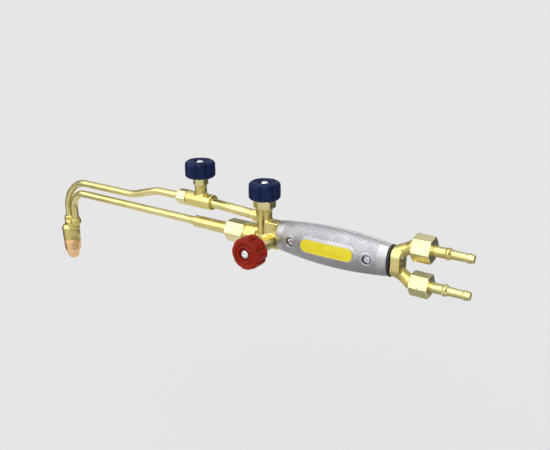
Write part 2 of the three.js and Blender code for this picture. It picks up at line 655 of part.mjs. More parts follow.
/** The label plate: a stadium on the grip's near side, curved with the grip. */
function labelPlate() {
  const radius = LABEL_HEIGHT / 2;
  const reach = LABEL_LENGTH / 2 - radius;
  const shape = new THREE.Shape();
  shape.absarc(reach, 0, radius, -Math.PI / 2, Math.PI / 2);
  shape.absarc(-reach, 0, radius, Math.PI / 2, 1.5 * Math.PI);
  const stadium = new THREE.ExtrudeGeometry(shape, { depth: 12, bevelEnabled: false, curveSegments: 8 });
  const place = stadium.rotateX(Math.PI / 2).translate(GRIP_CENTRE_X, -9, GRIP_CENTRE_Z + 1);
  const crown = common(place, gripForm(GRIP_START, GRIP_END, -1.8, GRIP_SIDES));
  return carve([crown], [gripForm(GRIP_START, GRIP_END, -GAP / GRIP_DEPTH_RATIO, GRIP_SIDES)]);
}

function gripScrew(x) {
  const head = COUNTERBORE_FLOOR + GAP;
  const screw = turned([
    [0, -13], [SCREW_R, -13], [SCREW_R, head], [SCREW_HEAD_R, head], [SCREW_HEAD_R, head + 1.6],
    [3, head + 2.4], [0, head + 2.4],
  ], SMALL);
  const slot = new THREE.BoxGeometry(12, 1, 2.4).translate(0, 0, head + 2.4);
  return onScrewAxis(carve([screw], [slot]), x);
}

function gripNut(x) {
  const nut = carve([hexBar(7, -13.9, -COUNTERBORE_FLOOR - GAP)], [rod(SCREW_R + GAP, -15, -9, TINY)]);
  return onScrewAxis(nut, x);
}

const END_RING_THICKNESS = 1.8;

function endRing() {
  const start = GRIP_END + GAP;
  const form = gripForm(start, start + END_RING_THICKNESS, -0.4, GRIP_SIDES, 1);
  const holes = [OXYGEN_INLET.feed, FUEL_INLET.feed].map((z) =>
    alongX(rod(FEED_TUBE_R + GAP, GRIP_END, start + 3, SMALL), z));
  return carve([form], holes);
}

// Rear end: the inlet block, the feed tubes through the grip, and the two hose unions.

const INLET_BLOCK_START = GRIP_END + END_RING_THICKNESS + 2 * GAP;
const INLET_BLOCK_END = 165;
const INLET_SOCKET_END = 160.5;
const INLET_THREAD_END = 188;
const INLET_BORE_R = 2.6;
const BRANCH_R = 6.5;
const NIPPLE_NECK_R = 5.2;

/** A block inside the outline of the grip's end, with one branch up and one down to the unions. */
function inletBlock() {
  const middle = block([INLET_BLOCK_START, -10, -8.4], [INLET_BLOCK_END, 10, 20.6], 5);
  const outline = gripForm(INLET_BLOCK_START - 1, INLET_BLOCK_END + 1, 0.8, GRIP_SIDES, 2);
  const solids = [common(middle, outline)];
  const holes = [];
  for (const { z: end, feed, root, elbow: before } of [OXYGEN_INLET, FUEL_INLET]) {
    const from = at(INLET_BLOCK_START + root[0], 0, root[1]);
    const elbow = at(INLET_NUT_START - before, 0, end);
    solids.push(rodBetween(from, elbow, BRANCH_R, SMALL));
    solids.push(new THREE.SphereGeometry(BRANCH_R, SMALL, 8).translate(elbow.x, elbow.y, elbow.z));
    solids.push(alongX(rod(BRANCH_R, elbow.x, INLET_NUT_START + 1, SMALL), end));
    solids.push(alongX(bar(INLET_THREAD_R, INLET_NUT_START - 1, INLET_THREAD_END, 1, 24), end));
    holes.push(rodBetween(at(INLET_SOCKET_END - 1, 0, feed), elbow, INLET_BORE_R, TINY));
    holes.push(alongX(rod(INLET_BORE_R, elbow.x - 1, INLET_THREAD_END + 1, TINY), end));
    holes.push(alongX(rod(FEED_TUBE_R + GAP, INLET_BLOCK_START - 1, INLET_SOCKET_END, SMALL), feed));
  }
  return carve(solids, holes);
}

function feedTube(height) {
  const from = at(FEED_SOCKET_X + GAP, 0, height);
  return straightTube(from, at(INLET_SOCKET_END - GAP, 0, height), FEED_TUBE_R, INLET_BORE_R);
}

/** A hose union nut. The fuel side's corners carry a groove that marks its left-hand thread. */
function inletNut({ z, flats, turn }, grooved) {
  const end = INLET_NUT_START + INLET_NUT_LENGTH;
  const middle = (INLET_NUT_START + end) / 2;
  const holes = [
    rod(INLET_THREAD_R + GAP, INLET_NUT_START - 1, end - 4, 24),
    rod(NIPPLE_NECK_R + GAP, end - 5, end + 1, 24),
  ];
  if (grooved) holes.push(turned([[11.3, middle], [14, middle - 1.6], [14, middle + 1.6]]));
  const nut = carve([hexBar(flats, INLET_NUT_START, end)], holes);
  return alongX(nut).rotateX(THREE.MathUtils.degToRad(turn)).translate(0, 0, z);
}

/** A hose nipple with two ridges, for hoses of two sizes. */
function hoseNipple(height) {
  const seat = INLET_THREAD_END + GAP;
  const collar = INLET_NUT_START + INLET_NUT_LENGTH - 4 - GAP;
  return alongX(turned([
    [2.4, seat], [INLET_THREAD_R - GAP, seat], [INLET_THREAD_R - GAP, collar], [NIPPLE_NECK_R, collar],
    [NIPPLE_NECK_R, 207.4], [6, 208.6], [6, 210], [4.5, 213], [4.1, 226.5], [4.8, 228], [4.8, 229.4],
    [3.7, NIPPLE_TIP], [2.4, NIPPLE_TIP],
  ], SMALL + 4), height);
}

// Assembly.

const heatingTrim = addValveTrim('heating', HEATING_VALVE, BLUE_PLASTIC);
heatingTrim.position.set(HEATING_VALVE.x, 0, HEATING_VALVE.face);
const cuttingTrim = addValveTrim('cutting', CUTTING_VALVE, BLUE_PLASTIC);
cuttingTrim.position.set(CUTTING_VALVE.x, 0, CUTTING_VALVE.face);
const fuelTrim = addValveTrim('fuel', FUEL_VALVE, RED_PLASTIC);
fuelTrim.position.set(FUEL_VALVE.x, -FUEL_VALVE.face, FUEL_VALVE.z);
fuelTrim.rotation.x = Math.PI / 2;

addPart('valve_body', carve(valveBodyShape(), valveBodyHoles()), BRASS);
addPart('injector', injector(), BRASS);
addPart('mixer_union_nut', mixerUnionNut(), BRASS);
addPart('mixing_chamber', mixingChamber(), BRASS);
addPart('mixed_gas_tube', mixedGasTube(), BRASS);
addPart('cutting_tube_rear', cuttingTubeRear(), BRASS);
addPart('cutting_valve_body', cuttingValveBody(), BRASS);
addPart('cutting_union_nut', cuttingUnionNut(), BRASS);
addPart('cutting_tube_front', cuttingTubeFront(), BRASS);

const head = new THREE.Group();
head.rotation.x = Math.PI;
head.position.set(HEAD_X, 0, HEAD_TOP_Z);
torch.add(head);
addPart('head_block', headBlock(), BRASS, head);
addPart('head_plug', headPlug(), BRASS, head);
addPart('inner_nozzle', innerNozzle(), BRASS, head);
addPart('outer_nozzle', outerNozzle(), COPPER, head);

addPart('grip_half_near', gripHalf(1), CAST_ALUMINIUM);
addPart('grip_half_far', gripHalf(-1), CAST_ALUMINIUM);
addPart('label_plate', labelPlate(), YELLOW_PAINT);
gripScrewPlaces.forEach((x, i) => {
  const end = ['front', 'rear'][i];
  addPart(`grip_screw_${end}`, gripScrew(x), STEEL);
  addPart(`grip_nut_${end}`, gripNut(x), STEEL);
});
addPart('grip_end_ring', endRing(), RUBBER);

addPart('inlet_block', inletBlock(), BRASS);
addPart('oxygen_feed_tube', feedTube(OXYGEN_INLET.feed), BRASS);
addPart('fuel_feed_tube', feedTube(FUEL_INLET.feed), BRASS);
addPart('oxygen_union_nut', inletNut(OXYGEN_INLET, false), BRASS);
addPart('oxygen_hose_nipple', hoseNipple(OXYGEN_INLET.z), BRASS);
addPart('fuel_union_nut', inletNut(FUEL_INLET, true), BRASS);
addPart('fuel_hose_nipple', hoseNipple(FUEL_INLET.z), BRASS);

const model = new THREE.Group();
model.add(torch);

export default model;
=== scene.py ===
"""Looks for a hand-held oxy-fuel cutting torch: fine surfaces, materials, light and camera.

Shapes are worked out in millimetres, in the torch's own frame: +X towards the hoses, +Z up, and
the origin where the heating valve's axis crosses the mixed-gas line. CORE places that origin in
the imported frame. Round pieces are turned, tubes are swept, and forged, cast and moulded pieces
are meshed from a distance field, so that their edges are really round.
"""

import json
import math

import bpy
import numpy as np
from mathutils import Matrix, Vector


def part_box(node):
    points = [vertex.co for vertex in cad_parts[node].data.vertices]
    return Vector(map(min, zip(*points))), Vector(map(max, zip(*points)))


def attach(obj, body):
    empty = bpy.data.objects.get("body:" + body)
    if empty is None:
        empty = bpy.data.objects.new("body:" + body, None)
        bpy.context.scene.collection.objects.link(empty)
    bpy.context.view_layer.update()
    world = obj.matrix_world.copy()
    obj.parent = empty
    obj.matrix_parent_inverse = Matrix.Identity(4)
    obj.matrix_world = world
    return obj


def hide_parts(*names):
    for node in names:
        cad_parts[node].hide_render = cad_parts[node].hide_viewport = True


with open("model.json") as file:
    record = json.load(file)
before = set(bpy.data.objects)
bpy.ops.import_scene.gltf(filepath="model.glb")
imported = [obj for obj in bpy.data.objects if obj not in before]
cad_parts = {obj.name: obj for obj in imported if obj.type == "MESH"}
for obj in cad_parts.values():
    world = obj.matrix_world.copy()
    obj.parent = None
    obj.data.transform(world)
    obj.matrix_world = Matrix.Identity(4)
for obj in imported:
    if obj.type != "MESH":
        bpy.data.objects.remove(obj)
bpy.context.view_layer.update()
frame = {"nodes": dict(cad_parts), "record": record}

MM = 0.001


def metric_box(node):
    """A CAD node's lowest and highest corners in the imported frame, in millimetres."""
    return [np.array(corner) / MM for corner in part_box(node)]


def middle(node):
    low, high = metric_box(node)
    return (low + high) / 2


CORE = np.array([middle("heating_knob")[0], 0, middle("mixing_chamber")[2]])


def box(node):
    """A CAD node's lowest and highest corners in the torch's own frame."""
    low, high = metric_box(node)
    return low - CORE, high - CORE


# Local frames.


def unit(vector):
    vector = np.array(vector, float)
    return vector / np.linalg.norm(vector)


class Place:
    """A local frame: its origin, and its axes as the rows of a matrix, the last along the piece."""

    def __init__(self, origin, along, across=(0, 1, 0)):
        along = unit(along)
        across = np.array(across, float)
        first = unit(across - (across @ along) * along)
        self.origin = np.array(origin, float)
        self.axes = np.array([first, np.cross(along, first), along])

    def local(self, points):
        return (points - self.origin) @ self.axes.T

    def world(self, points):
        return np.asarray(points) @ self.axes + self.origin

    def moved(self, *offset):
        return Place(self.world(offset), self.axes[2], self.axes[0])

    def spun(self, degrees):
        """The same frame turned about its own last axis."""
        angle = math.radians(degrees)
        first = math.cos(angle) * self.axes[0] + math.sin(angle) * self.axes[1]
        return Place(self.origin, self.axes[2], first)


UP = (0, 0, 1)
BACK = (1, 0, 0)
UPRIGHT = Place((0, 0, 0), UP, BACK)


def line_place(height):
    """A frame that runs along +X at a height, with its own X axis pointing down."""
    return Place((0, 0, height), BACK, (0, 0, -1))


# Outlines. An outline is a list of [radius, height] points.


def rounded(outline, radius, closed, longest=1.4):
    """An outline with its corners turned into arcs, and its straight runs split into short ones."""
    points = [np.array(point, float) for point in outline]
    count = len(points)
    made = []
    for i, point in enumerate(points):
        if not closed and i in (0, count - 1):
            made.append([point])
            continue
        back = points[i - 1] - point
        onward = points[(i + 1) % count] - point
        room = 0.45 * min(np.linalg.norm(back), np.linalg.norm(onward))
        back, onward = unit(back), unit(onward)
        half = math.acos(max(-1.0, min(1.0, float(back @ onward)))) / 2
        reach = min(room, radius / max(math.tan(half), 1e-6))
        if half > math.radians(86):
            made.append([point])
            continue
        start, end = point + reach * back, point + reach * onward
        arc = []
        for t in np.linspace(0, 1, 4):
            arc.append((1 - t) ** 2 * start + 2 * t * (1 - t) * point + t**2 * end)
        made.append(arc)
    run = []
    for i, arc in enumerate(made):
        run += arc
        following = made[(i + 1) % count]
        if i == count - 1 and not closed:
            break
        gap = np.linalg.norm(following[0] - arc[-1])
        for step in range(1, math.ceil(gap / longest)):
            run.append(arc[-1] + (following[0] - arc[-1]) * step / math.ceil(gap / longest))
    return np.array(run)


# Distance fields. A field takes points and gives how far each is outside a solid.


def smooth_min(a, b, blend):
    share = np.clip(0.5 + 0.5 * (b - a) / blend, 0, 1)
    return b * (1 - share) + a * share - blend * share * (1 - share)


def smooth_max(a, b, blend):
    return -smooth_min(-a, -b, blend)


def blended(fields, combine, blend):
    def field(points):
        value = fields[0](points)
        for other in fields[1:]:
            value = combine(value, other(points), blend)
        return value

    return field


def joined(fields, blend=1.5):
    """The union of solids, with a fillet where they meet."""
    return blended(fields, smooth_min, blend)


def shared(fields, blend=0.5):
    """What solids have in common, with its edges rounded off."""
    return blended(fields, smooth_max, blend)


def cut(solid, holes, blend=0.4):
    """A solid with others taken out of it, with the rims rounded off."""

    def field(points):
        value = solid(points)
        for hole in holes:
            value = smooth_max(value, -hole(points), blend)
        return value

    return field


def polygon_distance(x, y, outline):
    nearest = np.full(x.shape, np.inf)
    sign = np.ones(x.shape)
    for (ax, ay), (bx, by) in zip(outline, np.roll(outline, -1, axis=0)):
        ex, ey = bx - ax, by - ay
        wx, wy = x - ax, y - ay
        share = np.clip((wx * ex + wy * ey) / (ex * ex + ey * ey), 0, 1)
        nearest = np.minimum(nearest, (wx - ex * share) ** 2 + (wy - ey * share) ** 2)
        rising = (y >= ay) & (y < by) & (ex * wy > ey * wx)
        falling = (y < ay) & (y >= by) & (ex * wy < ey * wx)
        sign = np.where(rising | falling, -sign, sign)
    return sign * np.sqrt(nearest)


def round_solid(place, outline, edge=0.5):
    """A solid turned about a frame's last axis. An outline that starts on the axis ends on it."""
    outline = np.array(outline, float)
    if outline[0][0] == 0:
        mirrored = outline[::-1] * (-1, 1)
        outline = np.vstack([outline, mirrored[1:-1]])
    smooth = rounded(outline, edge, closed=True, longest=1000)

    def field(points):
        local = place.local(points)
        return polygon_distance(np.hypot(local[:, 0], local[:, 1]), local[:, 2], smooth)

    return field


def rod(place, radius, low, high, edge=0.5):
    return round_solid(place, [[0, low], [radius, low], [radius, high], [0, high]], edge)


def capsule(start, end, radius):
    start, end = np.array(start, float), np.array(end, float)
    run = end - start

    def field(points):
        share = np.clip((points - start) @ run / (run @ run), 0, 1)
        return np.linalg.norm(points - start - share[:, None] * run, axis=1) - radius

    return field


def slab(place, half_sizes, edge=0.6):
    """A box about a frame's origin, with all its edges rounded."""
    half = np.array(half_sizes, float) - edge

    def field(points):
        over = np.abs(place.local(points)) - half
        outside = np.linalg.norm(np.maximum(over, 0), axis=1)
        return outside + np.minimum(over.max(axis=1), 0) - edge

    return field


def hexagon(place, across_flats, edge=0.7):
    """An endless hexagonal bar, with two of its flats across the frame's first axis."""

    def field(points):
        local = place.local(points)
        value = np.full(len(points), -1e3)
        for degrees in (0, 60, 120):
            angle = math.radians(degrees)
            reach = np.abs(local[:, 0] * math.cos(angle) + local[:, 1] * math.sin(angle))
            value = smooth_max(value, reach - across_flats / 2, edge)
        return value

    return field


# Meshes.


def finish_mesh(name, points, faces, place):
    """Makes an object from points in the torch's frame, and stores what the materials read."""
    mesh = bpy.data.meshes.new(name)
    mesh.from_pydata(((points + CORE) * MM).tolist(), [], faces)
    mesh.update()
    mesh.shade_smooth()
    local = place.local(points)
    store(mesh, "turning", local[:, 2] + np.hypot(local[:, 0], local[:, 1]))
    store(mesh, "along", local[:, 2])
    store(mesh, "edge", edge_sharpness(mesh, points))
    made = bpy.data.objects.new(name, mesh)
    bpy.context.scene.collection.objects.link(made)
    return made


def store(mesh, name, values):
    mesh.attributes.new(name, "FLOAT", "POINT").data.foreach_set("value", values.astype(np.float32))


SMOOTHING_PASSES = 2


def edge_sharpness(mesh, points):
    """How far each point stands out of its neighbours: above 0 on edges, below 0 in creases."""
    pairs = np.empty(len(mesh.edges) * 2, np.int32)
    mesh.edges.foreach_get("vertices", pairs)
    a, b = pairs.reshape(-1, 2).T
    normals = np.empty(len(points) * 3, np.float32)
    mesh.vertices.foreach_get("normal", normals)
    count = np.bincount(a, minlength=len(points)) + np.bincount(b, minlength=len(points))
    count = np.maximum(count, 1)

    def neighbour_sum(values):
        total = np.bincount(a, values[b], len(points))
        return total + np.bincount(b, values[a], len(points))

    pull = np.stack([neighbour_sum(points[:, i]) / count - points[:, i] for i in range(3)], axis=1)
    length = np.linalg.norm(points[a] - points[b], axis=1)
    spacing = (np.bincount(a, length, len(points)) + np.bincount(b, length, len(points))) / count
    value = -(pull * normals.reshape(-1, 3)).sum(axis=1) / np.maximum(spacing, 1e-6)
    for _ in range(SMOOTHING_PASSES):
        value = 0.5 * value + 0.5 * neighbour_sum(value) / count
    return value


def turned(name, place, outline, edge, sides):
    """A piece turned about a frame's last axis, from an outline listed upwards on the outside."""
    on_axis = outline[0][0] == 0
    run = rounded(outline, edge, closed=not on_axis)
    angles = np.linspace(0, 2 * math.pi, sides, endpoint=False)
    rings, points = [], []
    for radius, height in run:
        if radius < 1e-6:
            rings.append([len(points)])
            points.append([0, 0, height])
            continue
        rings.append(list(range(len(points), len(points) + sides)))
        points += [[radius * math.cos(t), radius * math.sin(t), height] for t in angles]
    if not on_axis:
        rings.append(rings[0])
    faces = []
    for low, high in zip(rings, rings[1:]):
        for i in range(sides):
            j = (i + 1) % sides
            if len(low) == 1:
                faces.append((low[0], high[j], high[i]))
            elif len(high) == 1:
                faces.append((low[i], low[j], high[0]))
            else:
                faces.append((low[i], low[j], high[j], high[i]))
    return finish_mesh(name, place.world(points), faces, place)


LONGEST_STEP = 4.0
ARC_STEP = math.radians(5)


def bent_path(corners):
    """Points and directions along a bar bent in the XZ plane, from corners [x, z, bend radius]."""
    ends = [np.array([x, 0, z], float) for x, z, *_ in corners]
    run = [ends[0]]
    for i in range(1, len(ends) - 1):
        back, onward = unit(ends[i - 1] - ends[i]), unit(ends[i + 1] - ends[i])
        half = math.acos(back @ onward) / 2
        radius = corners[i][2]
        centre = ends[i] + unit(back + onward) * radius / math.sin(half)
        start = ends[i] + back * radius / math.tan(half) - centre
        stop = ends[i] + onward * radius / math.tan(half) - centre
        sweep = math.pi - 2 * half
        for t in np.linspace(0, 1, max(4, math.ceil(sweep / ARC_STEP))):
            share = [math.sin((1 - t) * sweep), math.sin(t * sweep)]
            run.append(centre + (start * share[0] + stop * share[1]) / math.sin(sweep))
    run.append(ends[-1])
    return split_runs(run, LONGEST_STEP)


def split_runs(run, longest):
    """The same path with no step longer than a given length."""
    dense = [run[0]]
    for start, end in zip(run, run[1:]):
        steps = math.ceil(np.linalg.norm(end - start) / longest)
        dense += [start + (end - start) * (i + 1) / steps for i in range(steps)]
    return np.array(dense)


SOLDER_REACH = 1.6


def tube(name, path, radius, bore, flares=(), sides=40):
    """A tube along a path in the XZ plane. A flare is where solder adds 1 mm to the radius."""
    ahead = np.gradient(path, axis=0)
    ahead /= np.linalg.norm(ahead, axis=1)[:, None]
    side = np.array([0.0, 1.0, 0.0])
    over = np.cross(side, ahead)
    swell = np.zeros(len(path))
    for where in flares:
        swell += np.exp(-((np.linalg.norm(path - np.array(where), axis=1) / SOLDER_REACH) ** 2))
    angles = np.linspace(0, 2 * math.pi, sides, endpoint=False)
    points = []
    for i, centre in enumerate(path):
        for size in (radius + swell[i], bore):
            points += [centre + size * (math.cos(t) * side + math.sin(t) * over[i]) for t in angles]
    faces = []
    for i in range(len(path) - 1):
        for k in range(sides):
            j = (k + 1) % sides
            outer, inner = 2 * i * sides, (2 * i + 1) * sides
            step = 2 * sides
            faces.append((outer + j, outer + k, outer + k + step, outer + j + step))
            faces.append((inner + k, inner + j, inner + j + step, inner + k + step))
    last = 2 * (len(path) - 1) * sides
    for k in range(sides):
        j = (k + 1) % sides
        faces.append((k, j, sides + j, sides + k))
        faces.append((last + j, last + k, last + sides + k, last + sides + j))
    return finish_mesh(name, np.array(points), faces, Place(path[0], BACK))


BLOCK = 6  # grid points along each side of a block that is sampled or skipped as one


def sampled(field, low, counts, step):
    """The field on a grid, worked out only near its surface."""
    blocks = np.stack(np.meshgrid(*[np.arange(n // BLOCK) for n in counts], indexing="ij"), axis=-1)
    blocks = blocks.reshape(-1, 3)
    centres = low + (blocks * BLOCK + (BLOCK - 1) / 2) * step
    rough = field(centres)
    shaped = np.where(rough < 0, -1.0, 1.0).reshape([n // BLOCK for n in counts])
    values = np.kron(shaped, np.ones((BLOCK, BLOCK, BLOCK)))
    near = blocks[np.abs(rough) < BLOCK * step * 1.25]
    inner = np.stack(np.meshgrid(*[np.arange(BLOCK)] * 3, indexing="ij"), axis=-1).reshape(-1, 3)
    index = (near[:, None, :] * BLOCK + inner[None, :, :]).reshape(-1, 3)
    values[tuple(index.T)] = field(low + index * step)
    return values


CUBE = [(x, y, z) for x in (0, 1) for y in (0, 1) for z in (0, 1)]
CUBE_EDGES = [(a, b) for a in range(8) for b in range(a + 1, 8) if bin(a ^ b).count("1") == 1]


def surface(field, corners, step):
    """Meshes a field's surface inside a box: one point per cell that it crosses, moved onto it."""
    low = np.array(corners[0]) - 2 * step
    counts = [math.ceil((n + 5) / BLOCK) * BLOCK for n in (np.array(corners[1]) - corners[0]) / step]
    values = sampled(field, low, counts, step)
    inside = values < 0
    around = np.stack([inside[x:counts[0] - 1 + x, y:counts[1] - 1 + y, z:counts[2] - 1 + z]
                       for x, y, z in CUBE])
    cells = np.argwhere(around.any(axis=0) & ~around.all(axis=0))
    number = np.full([n - 1 for n in counts], -1)
    number[tuple(cells.T)] = np.arange(len(cells))
    at_corner = [values[tuple((cells + corner).T)] for corner in CUBE]
    total, crossings = np.zeros((len(cells), 3)), np.zeros(len(cells))
    for a, b in CUBE_EDGES:
        crossed = (at_corner[a] < 0) != (at_corner[b] < 0)
        share = np.where(crossed, at_corner[a] / np.where(crossed, at_corner[a] - at_corner[b], 1), 0)
        start, end = np.array(CUBE[a]), np.array(CUBE[b])
        total += crossed[:, None] * (start + share[:, None] * (end - start))
        crossings += crossed
    points = low + (cells + total / crossings[:, None]) * step
    return on_surface(field, points, step), net_faces(inside, number)


def net_faces(inside, number):
    """A face round each grid edge that the surface crosses, joining the four cells beside it."""
    faces = []
    for axis in range(3):
        b, c = (axis + 1) % 3, (axis + 2) % 3
        first = np.take(inside, range(inside.shape[axis] - 1), axis)
        second = np.take(inside, range(1, inside.shape[axis]), axis)
        found = np.argwhere(first != second)
        found = found[(found[:, b] > 0) & (found[:, c] > 0)]
        ring = []
        for db, dc in ((-1, -1), (0, -1), (0, 0), (-1, 0)):
            cell = found.copy()
            cell[:, b] += db
            cell[:, c] += dc
            ring.append(number[tuple(cell.T)])
        quads = np.stack(ring, axis=1)
        outward = first[tuple(found.T)]
        faces.append(np.where(outward[:, None], quads, quads[:, ::-1]))
    return np.vstack(faces).tolist()


PROJECTION_ROUNDS = 2
SLOPE_REACH = 0.03


def on_surface(field, points, step):
    """Moves points along the field's slope until they lie on its surface."""
    for _ in range(PROJECTION_ROUNDS):
        here = field(points)
        rise = [field(points + SLOPE_REACH * axis) - here for axis in np.eye(3)]
        slope = np.stack(rise, axis=1) / SLOPE_REACH
        size = np.maximum((slope**2).sum(axis=1), 0.05)
        move = -here[:, None] * slope / size[:, None]
        length = np.linalg.norm(move, axis=1)[:, None]
        points = points + move * np.minimum(1, 0.7 * step / np.maximum(length, 1e-9))
    return points


# Materials.


class Nodes:
    """A material's node tree, with short calls for what the finishes share."""

    def __init__(self, name):
        self.material = bpy.data.materials.new(name)
        self.material.use_nodes = True
        self.tree = self.material.node_tree
        self.shader = self.tree.nodes["Principled BSDF"]
        self.place = self.add("ShaderNodeTexCoord").outputs["Object"]

    def add(self, kind, **settings):
        node = self.tree.nodes.new(kind)
        for key, value in settings.items():
            setattr(node, key, value)
        return node

    def link(self, source, target):
        self.tree.links.new(source, target)

    def set(self, **values):
        for key, value in values.items():
            self.shader.inputs[key.replace("_", " ")].default_value = value

    def noise(self, scale, detail=3.0, stretch=None):
        """Noise with a feature size of about 1 / scale metres."""
        node = self.add("ShaderNodeTexNoise")
        node.inputs["Scale"].default_value = scale
        node.inputs["Detail"].default_value = detail
        source = self.place
        if stretch:
            mapping = self.add("ShaderNodeMapping")
            mapping.inputs["Scale"].default_value = stretch
            self.link(self.place, mapping.inputs["Vector"])
            source = mapping.outputs["Vector"]
        self.link(source, node.inputs["Vector"])
        return node.outputs["Fac"]

    def attribute(self, name):
        return self.add("ShaderNodeAttribute", attribute_name=name).outputs["Fac"]

    def lines(self, frequency):
        """Noise in one direction only, for the marks of a cutting tool on a turned piece."""
        scaled = self.math("MULTIPLY", self.attribute("turning"), frequency)
        node = self.add("ShaderNodeTexNoise", noise_dimensions="1D")
        node.inputs["Detail"].default_value = 4.0
        self.link(scaled, node.inputs["W"])
        return node.outputs["Fac"]

    def math(self, operation, first, second):
        node = self.add("ShaderNodeMath", operation=operation)
        for socket, value in zip(node.inputs, (first, second)):
            if isinstance(value, (int, float)):
                socket.default_value = value
            else:
                self.link(value, socket)
        return node.outputs[0]

    def spread(self, value, low, high, new_low, new_high):
        """A value's range stretched to a new one, and kept inside it."""
        node = self.add("ShaderNodeMapRange")
        limits = {"From Min": low, "From Max": high, "To Min": new_low, "To Max": new_high}
        for key, number in limits.items():
            node.inputs[key].default_value = number
        self.link(value, node.inputs["Value"])
        return node.outputs["Result"]

    def mix(self, share, first, second):
        """Two colours, each a colour or a socket, mixed by a socket."""
        node = self.add("ShaderNodeMix", data_type="RGBA")
        self.link(share, node.inputs["Factor"])
        for key, value in (("A", first), ("B", second)):
            socket = next(s for s in node.inputs if s.name == key and s.type == "RGBA")
            if isinstance(value, tuple):
                socket.default_value = (*value, 1)
            else:
                self.link(value, socket)
        return next(s for s in node.outputs if s.type == "RGBA")

    def colour(self, socket):
        self.link(socket, self.shader.inputs["Base Color"])

    def base_colour(self):
        return self.shader.inputs["Base Color"].links[0].from_socket

    def roughness(self, socket):
        self.link(socket, self.shader.inputs["Roughness"])

    def bump(self, height, distance):
        """Relief of a given height in metres, laid over the relief already there."""
        node = self.add("ShaderNodeBump")
        node.inputs["Strength"].default_value = 1.0
        node.inputs["Distance"].default_value = distance
        self.link(height, node.inputs["Height"])
        target = self.shader.inputs["Normal"]
        if target.is_linked:
            self.link(target.links[0].from_socket, node.inputs["Normal"])
        self.link(node.outputs["Normal"], target)


def metal(name, dark, light, wear, rough, lines=0.0, grain=0.0):
    """Bare metal: two tones in slow patches, tool marks, rubbed edges, and creases made rougher and
    darkened with painted shade.
    """
    nodes = Nodes(name)
    nodes.set(Metallic=1.0)
    tone = nodes.mix(nodes.spread(nodes.noise(45, 4), 0.35, 0.65, 0, 1), dark, light)
    rubbed = nodes.spread(nodes.attribute("edge"), 0.06, 0.3, 0, 1)
    # Painted shade: creases are darkened towards a dark tone of the metal, and also made rougher.
    creased = nodes.spread(nodes.attribute("edge"), -0.05, -0.3, 0, 0.55)
    crease_shade_colour = tuple(0.35 * part for part in dark)
    nodes.colour(nodes.mix(creased, nodes.mix(rubbed, tone, wear), crease_shade_colour))
    smudge = nodes.spread(nodes.noise(140, 5), 0.3, 0.7, *rough)
    nodes.roughness(nodes.math("ADD", smudge, nodes.spread(creased, 0, 1, 0, 0.25)))
    if lines:
        nodes.bump(nodes.lines(6.0), lines * MM)
    if grain:
        nodes.bump(nodes.noise(1400, 6), grain * MM)
    return nodes


def brass():
    """Turned brass."""
    return metal("brass", (0.64, 0.54, 0.20), (0.76, 0.67, 0.30), (0.92, 0.84, 0.50),
                 (0.17, 0.30), lines=0.012).material


def bright_brass():
    """A paler copy of the brass for the nuts, lightened as a painted highlight for the light that their
    flats catch.
    """
    return metal("bright_brass", (0.74, 0.65, 0.31), (0.84, 0.76, 0.43), (0.96, 0.90, 0.62),
                 (0.14, 0.24), lines=0.01).material


def forged_brass():
    """Forged and tumbled brass: a fine grain, and no turning marks."""
    return metal("forged_brass", (0.64, 0.53, 0.17), (0.78, 0.67, 0.27), (0.92, 0.83, 0.46),
                 (0.20, 0.32), grain=0.02).material


def drawn_brass():
    """Drawn tube: fine scratches along the run, and no turning marks."""
    nodes = metal("drawn_brass", (0.66, 0.57, 0.22), (0.77, 0.69, 0.33), (0.92, 0.84, 0.5),
                  (0.16, 0.28))
    nodes.bump(nodes.noise(900, 4, stretch=(0.04, 1, 1)), 0.008 * MM)
    return nodes.material


def copper():
    """Turned copper that darkens and reddens towards the flame."""
    nodes = metal("copper", (0.91, 0.56, 0.26), (0.97, 0.67, 0.35), (1.0, 0.82, 0.55),
                  (0.22, 0.36), lines=0.015)
    base = nodes.base_colour()
    heat = nodes.spread(nodes.attribute("along"), 46, 61, 0, 0.5)
    uneven = nodes.math("MULTIPLY", heat, nodes.spread(nodes.noise(220, 4), 0.3, 0.7, 0.4, 1.2))
    nodes.colour(nodes.mix(uneven, base, (0.82, 0.48, 0.26)))
    return nodes.material


def steel():
    return metal("steel", (0.62, 0.63, 0.66), (0.80, 0.81, 0.83), (0.93, 0.93, 0.94),
                 (0.18, 0.32), lines=0.01).material


KNURL_PITCH = 3.5
GROOVE_DEPTH = 0.24


def cast_aluminium():
    """Die-cast metal: a matt skin, bright where it is rubbed, with painted shade in the knurl's grooves.
    """
    nodes = metal("cast_aluminium", (0.40, 0.40, 0.42), (0.52, 0.52, 0.54), (0.80, 0.80, 0.82),
                  (0.34, 0.46), grain=0.03)
    waves = []
    for sign in ("ADD", "SUBTRACT"):
        across = nodes.math(sign, nodes.attribute("along"), nodes.attribute("girth"))
        waves.append(nodes.math("PINGPONG", nodes.math("DIVIDE", across, KNURL_PITCH), 0.5))
    groove = nodes.spread(nodes.math("MINIMUM", *waves), 0.0, 0.22, 1, 0)
    groove = nodes.math("MULTIPLY", groove, nodes.attribute("knurled"))
    base = nodes.base_colour()
    # Painted shade: the knurl's grooves are darkened towards a near-black grey.
    nodes.colour(nodes.mix(nodes.math("MULTIPLY", groove, 0.5), base, (0.15, 0.15, 0.16)))
    nodes.bump(nodes.math("SUBTRACT", 1.0, groove), GROOVE_DEPTH * MM)
    return nodes.material


